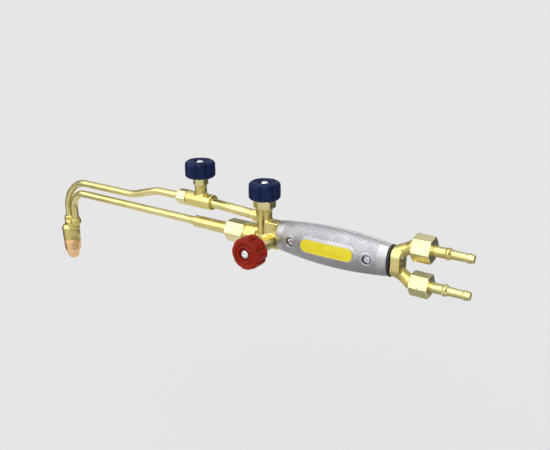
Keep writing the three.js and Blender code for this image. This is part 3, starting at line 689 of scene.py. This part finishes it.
def plastic(name, base, light):
    """Moulded plastic: faint unevenness, a fine grain, paler edges, and painted shade darkening its steps
    and creases.
    """
    nodes = Nodes(name)
    nodes.set(IOR=1.22)
    tone = nodes.mix(nodes.spread(nodes.noise(60, 3), 0.3, 0.7, 0, 0.35), base, light)
    worn = nodes.spread(nodes.attribute("edge"), 0.08, 0.4, 0, 0.6)
    # Painted shade: steps and creases are darkened towards a dark tone of the plastic.
    painted_crease_shade = nodes.spread(nodes.attribute("edge"), -0.02, -0.14, 0, 0.75)
    crease_shade_colour = tuple(0.2 * part for part in base)
    nodes.colour(nodes.mix(painted_crease_shade, nodes.mix(worn, tone, light), crease_shade_colour))
    nodes.roughness(nodes.spread(nodes.noise(160, 5), 0.3, 0.7, 0.16, 0.28))
    nodes.bump(nodes.noise(2500, 3), 0.012 * MM)
    nodes.bump(nodes.noise(120, 2), 0.05 * MM)
    return nodes.material


def yellow_paint():
    """Enamel on the label plate, thin at its rim, where the metal shows through."""
    nodes = Nodes("yellow_paint")
    patches = nodes.spread(nodes.noise(90, 4), 0.3, 0.7, 0, 1)
    tone = nodes.mix(patches, (0.80, 0.66, 0.004), (0.90, 0.77, 0.012))
    chipped = nodes.math("MULTIPLY", nodes.spread(nodes.attribute("edge"), 0.12, 0.3, 0, 1),
                         nodes.spread(nodes.noise(700, 5), 0.52, 0.6, 0, 1))
    nodes.colour(nodes.mix(chipped, tone, (0.45, 0.42, 0.30)))
    nodes.roughness(nodes.spread(nodes.noise(200, 4), 0.3, 0.7, 0.28, 0.42))
    nodes.bump(nodes.noise(800, 3), 0.012 * MM)
    return nodes.material


def rubber():
    nodes = Nodes("black_rubber")
    nodes.colour(nodes.mix(nodes.noise(300, 5), (0.012, 0.012, 0.013), (0.035, 0.034, 0.033)))
    nodes.roughness(nodes.spread(nodes.noise(250, 4), 0.3, 0.7, 0.5, 0.7))
    nodes.bump(nodes.noise(3000, 3), 0.02 * MM)
    return nodes.material


def seal():
    nodes = Nodes("sealing_plastic")
    nodes.colour(nodes.mix(nodes.noise(200, 3), (0.72, 0.69, 0.62), (0.84, 0.82, 0.77)))
    nodes.roughness(nodes.spread(nodes.noise(250, 4), 0.3, 0.7, 0.45, 0.6))
    nodes.bump(nodes.noise(2000, 3), 0.01 * MM)
    return nodes.material


MATERIALS = {
    "brass": brass(),
    "bright_brass": bright_brass(),
    "forged_brass": forged_brass(),
    "drawn_brass": drawn_brass(),
    "copper": copper(),
    "steel": steel(),
    "cast_aluminium": cast_aluminium(),
    "blue_plastic": plastic("blue_plastic", (0.004, 0.013, 0.058), (0.013, 0.030, 0.15)),
    "red_plastic": plastic("red_plastic", (0.27, 0.011, 0.003), (0.52, 0.034, 0.008)),
    "yellow_paint": yellow_paint(),
    "black_rubber": rubber(),
    "sealing_plastic": seal(),
}
SLOTS = {item["node"]: item["material_slot"] for item in frame["record"]["subparts"]}
BODIES = frame["record"]["behaviour"]["bodies"]
BODY_OF = {node: body for body, nodes in BODIES.items() for node in nodes}


def stands_for(piece, node, material):
    """Puts a fine piece in the place of a CAD node, on the same body, with the finish it is given."""
    piece.data.materials.append(MATERIALS[material])
    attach(piece, BODY_OF[node])
    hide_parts(node)


def add_sculpted(node, material, field, place, corners, step):
    """The fine piece of a node, with a field's surface inside a box."""
    piece = finish_mesh(node + "_fine", *surface(field, corners, step), place)
    stands_for(piece, node, material)


def add_turned(node, material, place, outline, edge, sides):
    """The fine piece of a node, turned about a frame's last axis."""
    stands_for(turned(node + "_fine", place, outline, edge, sides), node, material)


# Valve trim. A valve's frame has +Z along the spindle and its origin at the knob's underside.

KNOB_R = 18.0
KNOB_TOP = 19.7
KNOB_LOBES = 8
NOTCH_DEPTH = 2.1
NOTCH_WIDTH = 2.0
RECESS_FLOOR = 16.5
STEM_R = 3.6
SPIGOT_R = 6.6
SPIGOT_TOP = -4.2
GLAND_TOP = -0.9
GAP = 0.3


def top_valve_place(prefix):
    low, high = box(prefix + "_knob")
    centre = (low + high) / 2
    return Place((centre[0], 0, low[2]), UP, (1, 0, 0))


def fuel_valve_place():
    low, high = box("fuel_knob")
    centre = (low + high) / 2
    return Place((centre[0], high[1], centre[2]), (0, -1, 0), (1, 0, 0))


VALVES = {
    "heating": top_valve_place("heating"),
    "cutting": top_valve_place("cutting"),
    "fuel": fuel_valve_place(),
}


def knob_shape():
    """A moulded knob: notched round its side, domed at the rim, and stepped down to its screw."""
    form = round_solid(UPRIGHT, [
        [0, 0], [15.6, 0], [KNOB_R - 0.2, 2.2], [KNOB_R, 9], [KNOB_R - 0.3, 15.6], [16.9, 17.9],
        [14.3, KNOB_TOP], [12.1, KNOB_TOP], [11.5, 18.4], [9.7, 18.4], [9.2, 19.3], [7.5, 19.3],
        [6.9, RECESS_FLOOR], [0, RECESS_FLOOR],
    ], 0.9)
    socket = rod(UPRIGHT, STEM_R + 0.7, -2, 3.3)

    def notches(points):
        radius = np.hypot(points[:, 0], points[:, 1])
        pitch = 2 * math.pi / KNOB_LOBES
        angle = np.arctan2(points[:, 1], points[:, 0])
        from_notch = (np.mod(angle, pitch) - pitch / 2) * KNOB_R
        dip = NOTCH_DEPTH * np.exp(-((from_notch / NOTCH_WIDTH) ** 2))
        return radius - (KNOB_R - dip)

    knob = cut(shared([form, notches], 0.9), [socket], 0.5)
    return surface(knob, ((-KNOB_R, -KNOB_R, 0), (KNOB_R, KNOB_R, KNOB_TOP)), 0.5)


def knob_screw_shape():
    """A slotted cheese-head screw that holds a knob on its spindle."""
    head, top = RECESS_FLOOR + GAP, RECESS_FLOOR + GAP + 2.4
    form = round_solid(UPRIGHT, [
        [0, 6], [1.7, 6], [1.7, head], [4.3, head], [4.3, head + 1.6], [3.2, top], [0, top],
    ], 0.4)
    slot = slab(UPRIGHT.moved(0, 0, top), (6, 0.5, 0.9), 0.1)
    return surface(cut(form, [slot], 0.15), ((-4.4, -4.4, 6), (4.4, 4.4, top + 0.1)), 0.22)


def add_valve_trims():
    knob_points, knob_faces = knob_shape()
    screw_points, screw_faces = knob_screw_shape()
    for prefix, place in VALVES.items():
        knob = finish_mesh(prefix + "_knob_fine", place.world(knob_points), knob_faces, place)
        stands_for(knob, prefix + "_knob", "red_plastic" if prefix == "fuel" else "blue_plastic")
        screw = finish_mesh(prefix + "_knob_screw_fine", place.world(screw_points), screw_faces, place)
        stands_for(screw, prefix + "_knob_screw", "steel")
        add_gland_nut(prefix, place)
        stem = [[0, -20], [STEM_R, -20], [STEM_R, 2.9], [0, 2.9]]
        add_turned(prefix + "_spindle", "brass", place, stem, 0.3, 40)


def around(place, half_sizes):
    """The box, in the torch's frame, that holds a box about a local frame's origin."""
    corners = place.world([[x * half_sizes[0], y * half_sizes[1], z * half_sizes[2]]
                           for x in (-1, 1) for y in (-1, 1) for z in (-1, 1)])
    return corners.min(axis=0), corners.max(axis=0)


def add_gland_nut(prefix, place):
    low, high = box(prefix + "_gland_nut")
    flats = (high - low)[0]
    bottom = GLAND_TOP - abs((high - low) @ place.axes[2])
    add_nut(prefix + "_gland_nut", place, flats, bottom, GLAND_TOP, [
        rod(place, SPIGOT_R + GAP, bottom - 2, SPIGOT_TOP + GAP),
        rod(place, STEM_R + GAP, bottom, GLAND_TOP + 2),
    ])


def add_nut(node, place, flats, bottom, top, holes, chamfer=None):
    """A chamfered hexagonal nut between two heights of a frame."""
    corner = flats / math.sqrt(3)
    chamfer = chamfer or 0.11 * flats / 2
    envelope = round_solid(place, [
        [0, bottom], [corner - chamfer, bottom], [corner, bottom + 0.55 * chamfer],
        [corner, top - 0.55 * chamfer], [corner - chamfer, top], [0, top],
    ], 0.35)
    nut = cut(shared([hexagon(place, flats, 0.5), envelope], 0.35), holes, 0.4)
    half = (top - bottom) / 2
    corners = around(place.moved(0, 0, (top + bottom) / 2), (corner, corner, half))
    # The nuts take the paler brass, a painted highlight for the light on their flats.
    add_sculpted(node, "bright_brass", nut, place, corners, 0.42)


# Brass bodies and the tubes between them.

MIXED_LINE = line_place(0)
CUTTING_Z = (box("cutting_union_nut")[0][2] + box("cutting_union_nut")[1][2]) / 2
CUTTING_LINE = line_place(CUTTING_Z)
REAR_TUBE_R = 5.5
MIXED_TUBE_R = 5.0
CUTTING_TUBE_R = 4.7
REAR_OUTLET_Z = box("cutting_tube_rear")[0][2] + REAR_TUBE_R
BODY_BACK = box("valve_body")[1][0]
BODY_FRONT = -23.0
CUTTING_BARREL = (-111.4, -73.4)
GLAND_HEIGHTS = {"heating": 9.0, "cutting": 8.0, "fuel": 8.0}


def chamfered(place, radius, low, high, chamfer, edge=0.5):
    return round_solid(place, [[0, low], [radius - chamfer, low], [radius, low + chamfer],
                               [radius, high - chamfer], [radius - chamfer, high], [0, high]], edge)


def spigot(prefix):
    place = VALVES[prefix]
    return rod(place, SPIGOT_R, -GLAND_HEIGHTS[prefix] - 2.5, SPIGOT_TOP)


def add_valve_body():
    """The forging in front of the grip: barrel, column, fuel boss, outlet boss and rear block."""
    heating, fuel = VALVES["heating"], VALVES["fuel"]
    column_top = -GLAND_HEIGHTS["heating"] - 1.2
    depth = -heating.origin[2]
    solids = [
        chamfered(MIXED_LINE, 13.4, BODY_FRONT, -5.5, 1.3),
        chamfered(MIXED_LINE, 9.2, -9, 12, 1.5),
        rod(heating, 8.4, depth, column_top),
        slab(Place(((5 + BODY_BACK) / 2, 0, 6.3), UP), (7, (BODY_BACK - 5) / 2, 15.3), 1.6),
        chamfered(fuel, 7.4, fuel.origin[1] + 2, -GLAND_HEIGHTS["fuel"] - 1.2, 0.8),
        chamfered(line_place(REAR_OUTLET_Z), 7.4, -13, 0, 1.0),
    ]
    body = joined(solids, 2.2)
    collar = rod(heating, 8.9, column_top - 2.2, column_top)
    thread = rod(MIXED_LINE, 9.0, -43, BODY_FRONT + 1)
    whole = joined([body, collar, spigot("heating"), spigot("fuel"), thread], 0.5)
    drilled = cut(whole, [rod(MIXED_LINE, 6.0, -60, -16, 0.3)], 0.3)
    add_sculpted("valve_body", "forged_brass", drilled, MIXED_LINE, box("valve_body"), 0.55)


def add_cutting_valve_body():
    """The forging on the cutting line: a barrel, a column, and a thread for the union nut."""
    low, high = CUTTING_BARREL
    neck_top = -GLAND_HEIGHTS["cutting"] - 1.2
    cutting = VALVES["cutting"]
    barrel = chamfered(CUTTING_LINE, 9.25, low, high, 0.9)
    neck = rod(cutting, 7.0, CUTTING_Z - cutting.origin[2], neck_top)
    collar = rod(cutting, 7.5, neck_top - 2, neck_top)
    thread = rod(CUTTING_LINE, 6.4, -121, low + 1)
    whole = joined([joined([barrel, neck], 2.0), collar, spigot("cutting"), thread], 0.5)
    socket = rod(CUTTING_LINE, REAR_TUBE_R + 0.1, high - 5, high + 4, 0.3)
    add_sculpted("cutting_valve_body", "forged_brass", cut(whole, [socket], 0.5), CUTTING_LINE,
                 box("cutting_valve_body"), 0.5)


def nut_span(node):
    """Where a nut on a line along X starts and ends, and its size across flats."""
    low, high = box(node)
    return low[0], high[0], (high - low)[2]


def add_mixer():
    outline = [
        [5.8, -102], [6.6, -102], [7.2, -101.2], [7.2, -46.3], [8.6, -46.3], [8.6, -43.3], [4.2, -43.3],
        [4.2, -56], [5.8, -90],
    ]
    add_turned("mixing_chamber", "brass", MIXED_LINE, outline, 0.4, 72)
    front, back, flats = nut_span("mixer_union_nut")
    add_nut("mixer_union_nut", MIXED_LINE, flats, front, back, [
        rod(MIXED_LINE, 9.3, front + 1.9, back + 2), rod(MIXED_LINE, 7.5, front - 2, front + 3),
    ], chamfer=2.6)


def add_cutting_union():
    front, back, flats = nut_span("cutting_union_nut")
    add_nut("cutting_union_nut", CUTTING_LINE, flats, front, back, [
        rod(CUTTING_LINE, 6.7, front + 2, back + 2),
        rod(CUTTING_LINE, CUTTING_TUBE_R + GAP, front - 2, front + 3),
    ])


# The head's frame has +Z down the nozzle and its origin at the top of the front collar.

NOZZLE = next(m for m in frame["record"]["mounts"] if m["name"] == "nozzle_face")
HEAD_TO_TIP = 63.5
LEG_PITCH = 12.4  # from the cutting tube, on the nozzle's axis, back to the mixed-gas tube
TIP = np.array(NOZZLE["pos_m"]) / MM - CORE
HEAD = Place(TIP * (1, 0, 1) - HEAD_TO_TIP * unit(NOZZLE["axis"]), NOZZLE["axis"], BACK)
FRONT_HEIGHT = 15.7  # of the cutting tube where it runs level in front of its double bend
SOCKET_END = 9.2
SIDE_COLLAR_START = 3.0
SIDE_SOCKET_END = 8.8


def add_tube(node, corners, radius, bore, solder):
    piece = tube(node + "_fine", bent_path(corners), radius, bore, solder)
    stands_for(piece, node, "drawn_brass")


def add_tubes():
    """The three gas tubes. A corner is its X, its Z and the radius of its bend."""
    front_x, top = HEAD.origin[0], HEAD.origin[2]
    side_x = front_x + LEG_PITCH
    add_tube("cutting_tube_rear", [[-78.9, CUTTING_Z], [-9.3, REAR_OUTLET_Z]], REAR_TUBE_R, 4.0,
             [(-73.0, 0, CUTTING_Z), (-13, 0, REAR_OUTLET_Z)])
    add_tube("mixed_gas_tube", [[-90.3, 0], [side_x, 0, 25], [side_x, top - SIDE_SOCKET_END]],
             MIXED_TUBE_R, 3.6, [(-102.2, 0, 0), (side_x, 0, top - SIDE_COLLAR_START + 0.4)])
    add_tube("cutting_tube_front", [[-121.5, CUTTING_Z], [-165, CUTTING_Z, 50], [-209, FRONT_HEIGHT, 50],
                                    [front_x, FRONT_HEIGHT, 43], [front_x, top - SOCKET_END]],
             CUTTING_TUBE_R, 3.4, [(front_x, 0, top + 0.4)])


HEAD_LENGTH = 34.5
PLUG = Place(HEAD.world([0, 0, 22]), -HEAD.axes[0], HEAD.axes[2])
PLUG_FACE = 14.2
NOZZLE_START = HEAD_LENGTH + GAP


def add_head():
    """The head: two tube collars that run into a round body with a plugged cross-drilling."""
    side = HEAD.moved(LEG_PITCH, 0, 0)
    front_collar = chamfered(HEAD, 7.5, 0, 18, 0.7)
    side_collar = round_solid(side, [
        [0, SIDE_COLLAR_START], [6.9, SIDE_COLLAR_START], [7.5, SIDE_COLLAR_START + 0.6],
        [7.5, 8.6], [5.4, 12.8], [0, 12.8],
    ])
    neck = rod(HEAD.moved(5, 0, 0), 8.8, 7.2, 18)
    form = round_solid(HEAD, [
        [0, 13], [9.8, 13], [12.2, 17], [12.2, 28], [11.7, HEAD_LENGTH], [0, HEAD_LENGTH],
    ], 0.8)
    boss = rod(PLUG, 5.2, 0, PLUG_FACE)
    whole = joined([joined([front_collar, neck, form], 2.2), side_collar, boss], 1.2)
    holes = [
        rod(HEAD, CUTTING_TUBE_R + 0.1, -4, SOCKET_END, 0.3),
        rod(side, MIXED_TUBE_R + 0.1, -4, SIDE_SOCKET_END, 0.3),
        rod(HEAD, 9.7, 28, HEAD_LENGTH + 4, 0.3),
    ]
    add_sculpted("head_block", "forged_brass", cut(whole, holes, 0.3), HEAD, box("head_block"), 0.45)


def add_head_plug():
    head, top = PLUG_FACE + GAP, PLUG_FACE + GAP + 1.5
    form = round_solid(PLUG, [
        [0, 8.4], [3.6, 8.4], [3.6, head], [4.9, head], [4.9, head + 1.0], [4.3, top], [0, top],
    ], 0.3)
    slot = slab(PLUG.moved(0, 0, top), (6, 0.5, 0.8), 0.1)
    corners = around(PLUG.moved(0, 0, 12), (5.1, 5.1, 4.2))
    add_sculpted("head_plug", "brass", cut(form, [slot], 0.15), PLUG, corners, 0.25)


def add_nozzles():
    start, tip = NOZZLE_START, HEAD_TO_TIP
    outer = [
        [6.6, start - 6.4], [9.4, start - 6.4], [9.4, start], [11.65, start], [11.65, start + 2.0],
        [11.3, start + 2.4], [11.3, start + 3.0], [11.6, start + 3.4], [11.0, tip - 13.5], [7.2, tip - 3],
        [5.8, tip], [3.8, tip], [3.8, tip - 4], [6.6, start + 8],
    ]
    add_turned("outer_nozzle", "copper", HEAD, outer, 0.7, 96)
    inner = [
        [0.9, 24.4], [5.0, 24.4], [5.0, start + 3], [5.9, start + 4], [4.6, start + 10], [3.1, tip - 1.2],
        [0.9, tip - 1.2],
    ]
    add_turned("inner_nozzle", "brass", HEAD, inner, 0.25, 48)


# Grip.

GRIP_LOW, GRIP_HIGH = box("grip_half_near")
GRIP_START, GRIP_END = GRIP_LOW[0], GRIP_HIGH[0]
GRIP_MIDDLE = (GRIP_START + GRIP_END) / 2
GRIP_Z = (GRIP_LOW[2] + GRIP_HIGH[2]) / 2
GRIP_HALF_HEIGHT = (GRIP_HIGH[2] - GRIP_LOW[2]) / 2
GRIP_DROP = 5.3  # how much less the half height is at the ends
GRIP_DEPTH = 0.735  # width in Y over height in Z
SCREW_OFFSET = 45.0
SCREW_PLACES = [GRIP_MIDDLE - SCREW_OFFSET, GRIP_MIDDLE + SCREW_OFFSET]
COUNTERBORE_R = 4.9
COUNTERBORE_FLOOR = 10.4  # from the seam
SCREW_HOLE_R = 2.3
SCREW_BOSS_R = 6.6
GRIP_NUT_FLATS = 7
GIRTH_R = 17.6  # turns the angle round the grip into a distance
SKIN_DEPTH = 0.15  # how far the knurled skin lies below the smooth bands
LABEL_HALF = np.array([30.5, 7.0])
LABEL_Z = GRIP_Z + 1


def end_outline(points):
    """Roughly how far points are outside the outline of the grip's end, anywhere along X."""
    return grip_surface(points * (0, 1, 1) + (GRIP_END, 0, 0))


def grip_surface(points):
    """Roughly how far points are outside the grip's oval form, without its ends."""
    x, y, z = points[:, 0], points[:, 1], points[:, 2] - GRIP_Z
    share = np.clip((x - GRIP_MIDDLE) / (GRIP_END - GRIP_MIDDLE), -1.1, 1.1)
    half_height = GRIP_HALF_HEIGHT - GRIP_DROP * share**2
    stretched = np.hypot(y / GRIP_DEPTH, z)
    slope = np.hypot(y / GRIP_DEPTH**2, z) / np.maximum(stretched, 1e-6)
    return (stretched - half_height) / np.maximum(slope, 1e-6)


def stadium(points, half_sizes, height):
    """Distance from a long round-ended outline, seen along Y."""
    x = np.maximum(np.abs(points[:, 0] - GRIP_MIDDLE) - (half_sizes[0] - half_sizes[1]), 0)
    return np.hypot(x, points[:, 2] - height) - half_sizes[1]


def eased(value, low, high):
    share = np.clip((value - low) / (high - low), 0, 1)
    return share * share * (3 - 2 * share)


def knurled(points):
    """1 where the grip is knurled, and 0 at its ends, seam, screws and label."""
    x, y, z = points[:, 0], points[:, 1], points[:, 2] - GRIP_Z
    mask = eased(x, GRIP_START + 8, GRIP_START + 10) * eased(-x, -GRIP_END + 9, -GRIP_END + 11)
    mask *= eased(np.abs(y), 0.8, 1.6)
    for place in SCREW_PLACES:
        mask *= eased(np.hypot(x - place, z), 7.0, 8.2)
    near = stadium(points, LABEL_HALF + 2.0, LABEL_Z)
    return mask * np.where(y < 0, eased(near, 0, 1.2), 1)


def add_grip_half(node, side):
    """One cast half. The side is -1 for the near half, which faces -Y, and 1 for the far half."""
    bores = [Place((x, 0, GRIP_Z), (0, side, 0), UP) for x in SCREW_PLACES]
    counterbores = [rod(bore, COUNTERBORE_R, COUNTERBORE_FLOOR, 40, 0.3) for bore in bores]
    shanks = [rod(bore, SCREW_HOLE_R, -3, 12, 0.2) for bore in bores]
    core = Place((GRIP_MIDDLE, 0, GRIP_Z), BACK, UP)

    def form(points):
        x = points[:, 0]
        ends = np.maximum(GRIP_START - x, x - GRIP_END)
        skin = grip_surface(points) + SKIN_DEPTH * knurled(points)
        return smooth_max(smooth_max(skin, ends, 1.6), 0.15 - side * points[:, 1], 0.5)

    cavity = slab(core, (11, 8, GRIP_END - GRIP_MIDDLE - 8), 3)
    bosses = joined([rod(bore, SCREW_BOSS_R, -3, 30) for bore in bores], 0.5)
    hollow = cut(cavity, [bosses], 0.5)
    half = cut(form, [hollow, *counterbores, *shanks], 0.45)
    points, faces = surface(half, box(node), 0.5)
    piece = finish_mesh(node + "_fine", points, faces, line_place(GRIP_Z))
    store(piece.data, "knurled", knurled(points))
    angle = np.arctan2(points[:, 1] / GRIP_DEPTH, points[:, 2] - GRIP_Z)
    store(piece.data, "girth", angle * GIRTH_R)
    stands_for(piece, node, "cast_aluminium")


def add_label():
    """A stadium plate that follows the grip, with a raised rim. It carries no lettering."""

    def plate(points):
        outline = stadium(points, LABEL_HALF, LABEL_Z)
        skin = grip_surface(points)
        face = smooth_max(skin - 1.15, outline, 0.7)
        rim = smooth_max(skin - 1.6, np.abs(outline + 0.75) - 0.55, 0.5)
        body = smooth_min(face, rim, 0.5)
        body = smooth_max(body, 0.3 - skin, 0.3)
        return smooth_max(body, points[:, 1] + 6, 0.5)

    place = Place((GRIP_MIDDLE, 0, LABEL_Z), (0, -1, 0), UP)
    add_sculpted("label_plate", "yellow_paint", plate, place, box("label_plate"), 0.36)


def add_grip_fasteners():
    for end, x in zip(("front", "rear"), SCREW_PLACES):
        add_grip_screw("grip_screw_" + end, Place((x, 0, GRIP_Z), (0, -1, 0), UP).spun(35))
        add_grip_nut("grip_nut_" + end, Place((x, 0, GRIP_Z), (0, 1, 0), UP))


def add_grip_screw(node, place):
    form = round_solid(place, [
        [0, -13], [2, -13], [2, 10.7], [4, 10.7], [4, 11.9], [3.0, 13.0], [0, 13.1],
    ], 0.4)
    slot = slab(place.moved(0, 0, 13.1), (6, 0.5, 1.0), 0.1)
    corners = around(place, (4.2, 4.2, 13.3))
    add_sculpted(node, "steel", cut(form, [slot], 0.15), place, corners, 0.26)


def add_grip_nut(node, place):
    envelope = chamfered(place, GRIP_NUT_FLATS / math.sqrt(3), 10.7, 13.9, 0.4, 0.2)
    hole = rod(place, SCREW_HOLE_R, 9, 16, 0.1)
    nut = cut(shared([hexagon(place, GRIP_NUT_FLATS, 0.3), envelope], 0.25), [hole], 0.15)
    corners = around(place.moved(0, 0, 12.3), (4.3, 4.3, 2))
    add_sculpted(node, "steel", nut, place, corners, 0.26)


def add_end_ring():
    low, high = box("grip_end_ring")

    def ring(points):
        ends = np.maximum(low[0] - points[:, 0], points[:, 0] - high[0])
        return smooth_max(end_outline(points) - 0.35, ends, 0.7)

    add_sculpted("grip_end_ring", "black_rubber", ring, line_place(GRIP_Z), (low, high), 0.4)


# Rear end.

INLET_BLOCK_END = 165.0
INLET_THREAD_END = 188.0
INLET_THREAD_R = 8.0
INLET_BORE_R = 2.6
BRANCH_R = 6.5

# Where each branch leaves the block and where it straightens, and its nut's flats and angle.
INLETS = {
    "oxygen": {"root": (3.4, 17.6), "elbow_x": 175.6, "flats": 24, "turn": 8},
    "fuel": {"root": (6.6, -2.2), "elbow_x": 173.6, "flats": 22, "turn": 2},
}


def inlet_z(gas):
    low, high = box(gas + "_hose_nipple")
    return (low[2] + high[2]) / 2


def add_inlet_block():
    """A block inside the outline of the grip's end, with a branch to each hose union."""
    low, high = box("inlet_block")
    half_length = (INLET_BLOCK_END - low[0]) / 2
    core = slab(Place((low[0] + half_length, 0, 6.1), UP), (10.0, half_length, 14.5), 1.4)

    def outline(points):
        return end_outline(points) + 0.8

    def flat_front(points):
        return low[0] - points[:, 0]

    branches, threads, holes = [], [], []
    for gas, inlet in INLETS.items():
        end, elbow_x = inlet_z(gas), inlet["elbow_x"]
        along, height = inlet["root"]
        branches.append(capsule((low[0] + along, 0, height), (elbow_x, 0, end), BRANCH_R))
        branches.append(capsule((elbow_x, 0, end), (elbow_x + 6, 0, end), BRANCH_R))
        threads.append(rod(line_place(end), INLET_THREAD_R, 175.4, INLET_THREAD_END))
        holes.append(rod(line_place(end), INLET_BORE_R, 180, INLET_THREAD_END + 4, 0.2))
    body = shared([joined([shared([core, outline], 1.2), *branches], 2.2), flat_front], 0.6)
    whole = cut(joined([body, *threads], 0.5), holes, 0.3)
    add_sculpted("inlet_block", "forged_brass", whole, line_place(6), (low, high), 0.5)


def add_inlet(gas, grooved):
    """A hose union: a nut, grooved where its thread is left-handed, and a hose nipple."""
    line = line_place(inlet_z(gas))
    start, end, _ = nut_span(gas + "_union_nut")
    holes = [rod(line, 8.3, start - 2, end - 4), rod(line, 5.5, end - 6, end + 2)]
    if grooved:
        half_way = (start + end) / 2
        groove = [[11.3, half_way], [14.5, half_way - 1.8], [14.5, half_way + 1.8]]
        holes.append(round_solid(line, groove, 0.2))
    inlet = INLETS[gas]
    add_nut(gas + "_union_nut", line.spun(inlet["turn"]), inlet["flats"], start, end, holes)
    nipple = [
        [2.4, 188.3], [7.7, 188.3], [7.7, 190.3], [5.2, 190.3], [5.2, 207.0], [6, 208.6], [6, 210],
        [4.5, 212.4], [4.1, 226.2], [4.8, 228], [4.8, 229.4], [3.7, 233.4], [2.4, 233.4],
    ]
    add_turned(gas + "_hose_nipple", "brass", line, nipple, 0.35, 64)


def dress_inner_nodes():
    """The pieces that stay as CAD made them lie inside others, and only need their finish."""
    for node, made in frame["nodes"].items():
        if made.hide_render:
            continue
        made.data.materials.clear()
        made.data.materials.append(MATERIALS[SLOTS[node]])


# Stage, light and camera.

# Stage sizes and places are in metres.
FLOOR_Z = -0.42
FLOOR_R = 60


def add_floor():
    bpy.ops.mesh.primitive_circle_add(vertices=64, radius=FLOOR_R, fill_type="NGON",
                                      location=(0, 0, FLOOR_Z))
    floor = bpy.context.object
    floor.name = "floor"
    nodes = Nodes("pale_floor")
    nodes.set(Base_Color=(0.80, 0.80, 0.80, 1), Roughness=0.9, Specular_IOR_Level=0.0)
    floor.data.materials.append(nodes.material)


def aimed(made, location):
    """Puts an object at a place, facing the torch."""
    made.location = location
    made.rotation_euler = Vector(location).to_track_quat("Z", "Y").to_euler()
    bpy.context.scene.collection.objects.link(made)


def add_flag(name, location, size, brightness):
    """A dark panel that only reflections show. It shades nothing, and the camera doesn't see it."""
    mesh = bpy.data.meshes.new(name)
    x, y = size[0] / 2, size[1] / 2
    mesh.from_pydata([(-x, -y, 0), (x, -y, 0), (x, y, 0), (-x, y, 0)], [], [(0, 1, 2, 3)])
    nodes = Nodes(name)
    nodes.set(Base_Color=(brightness, brightness, brightness, 1), Roughness=1.0)
    mesh.materials.append(nodes.material)
    flag = bpy.data.objects.new(name, mesh)
    flag.visible_camera = False
    flag.visible_shadow = False
    flag.visible_diffuse = False
    aimed(flag, location)


def add_softbox(name, location, size, power):
    """A soft lamp for the highlights, which leaves the floor even."""
    light = bpy.data.lights.new(name, "AREA")
    light.shape = "RECTANGLE"
    light.size, light.size_y = size
    light.energy = power
    lamp = bpy.data.objects.new(name, light)
    lamp.visible_diffuse = False
    aimed(lamp, location)


def add_sun():
    """Soft light of one strength everywhere, so that the floor stays even to the horizon."""
    light = bpy.data.lights.new("sky_sun", "SUN")
    light.energy = 1.2
    light.angle = math.radians(80)
    lamp = bpy.data.objects.new("sky_sun", light)
    lamp.rotation_euler = (math.radians(40), math.radians(-25), 0)
    bpy.context.scene.collection.objects.link(lamp)


# The room that the metal reflects: how bright it is at each height, from the horizon up.
ROOM = [(0.0, 0.79), (0.03, 0.79), (0.10, 0.34), (0.42, 0.26), (0.60, 0.85), (0.95, 0.90)]


def set_world():
    world = bpy.data.worlds.new("studio")
    world.use_nodes = True
    tree = world.node_tree
    place = tree.nodes.new("ShaderNodeTexCoord").outputs["Generated"]
    split = tree.nodes.new("ShaderNodeSeparateXYZ")
    ramp = tree.nodes.new("ShaderNodeValToRGB")
    tree.links.new(place, split.inputs["Vector"])
    tree.links.new(split.outputs["Z"], ramp.inputs["Fac"])
    tree.links.new(ramp.outputs["Color"], tree.nodes["Background"].inputs["Color"])
    elements = ramp.color_ramp.elements
    while len(elements) < len(ROOM):
        elements.new(0.5)
    for element, (height, brightness) in zip(elements, ROOM):
        element.position = height
        element.color = (brightness, brightness, brightness, 1)
    bpy.context.scene.world = world


CAMERA_AZIMUTH = math.radians(34.449)
CAMERA_ELEVATION = math.radians(18.993)
CAMERA_PLACE = (0.29135, -0.53173, 0.23177)
CAMERA_LENS = 40.58


def add_camera():
    azimuth, elevation = CAMERA_AZIMUTH, CAMERA_ELEVATION
    level = Vector((math.sin(azimuth), -math.cos(azimuth), 0))
    back = level * math.cos(elevation) + Vector((0, 0, math.sin(elevation)))
    right = Vector((math.cos(azimuth), math.sin(azimuth), 0))
    up = back.cross(right)
    data = bpy.data.cameras.new("camera")
    data.sensor_width = 36
    data.lens = CAMERA_LENS
    data.clip_start, data.clip_end = 0.01, 200
    camera = bpy.data.objects.new("camera", data)
    turn = Matrix((right, up, back)).transposed().to_4x4()
    camera.matrix_world = Matrix.Translation(CAMERA_PLACE) @ turn
    bpy.context.scene.collection.objects.link(camera)
    bpy.context.scene.camera = camera


def build():
    add_valve_trims()
    add_valve_body()
    add_cutting_valve_body()
    add_mixer()
    add_cutting_union()
    add_tubes()
    add_head()
    add_head_plug()
    add_nozzles()
    add_grip_half("grip_half_near", -1)
    add_grip_half("grip_half_far", 1)
    add_label()
    add_grip_fasteners()
    add_end_ring()
    add_inlet_block()
    add_inlet("oxygen", grooved=False)
    add_inlet("fuel", grooved=True)
    dress_inner_nodes()


def light_stage():
    add_floor()
    set_world()
    add_sun()
    add_softbox("top_softbox", (0.0, -0.25, 0.9), (1.1, 0.5), 3)
    add_softbox("front_softbox", (-0.75, -1.0, 0.38), (1.5, 0.55), 2.4)
    add_softbox("near_softbox", (0.55, -1.1, 0.55), (0.4, 0.4), 3)
    add_flag("under_flag", (0.05, 0, -0.36), (1.0, 0.5), 0.42)
    add_flag("left_flag", (-0.9, -0.05, -0.2), (0.7, 0.35), 0.3)
    add_flag("back_flag", (0.1, 0.75, -0.12), (2.0, 0.5), 0.12)
    bpy.context.scene.view_settings.view_transform = "Standard"


add_camera()
build()
light_stage()
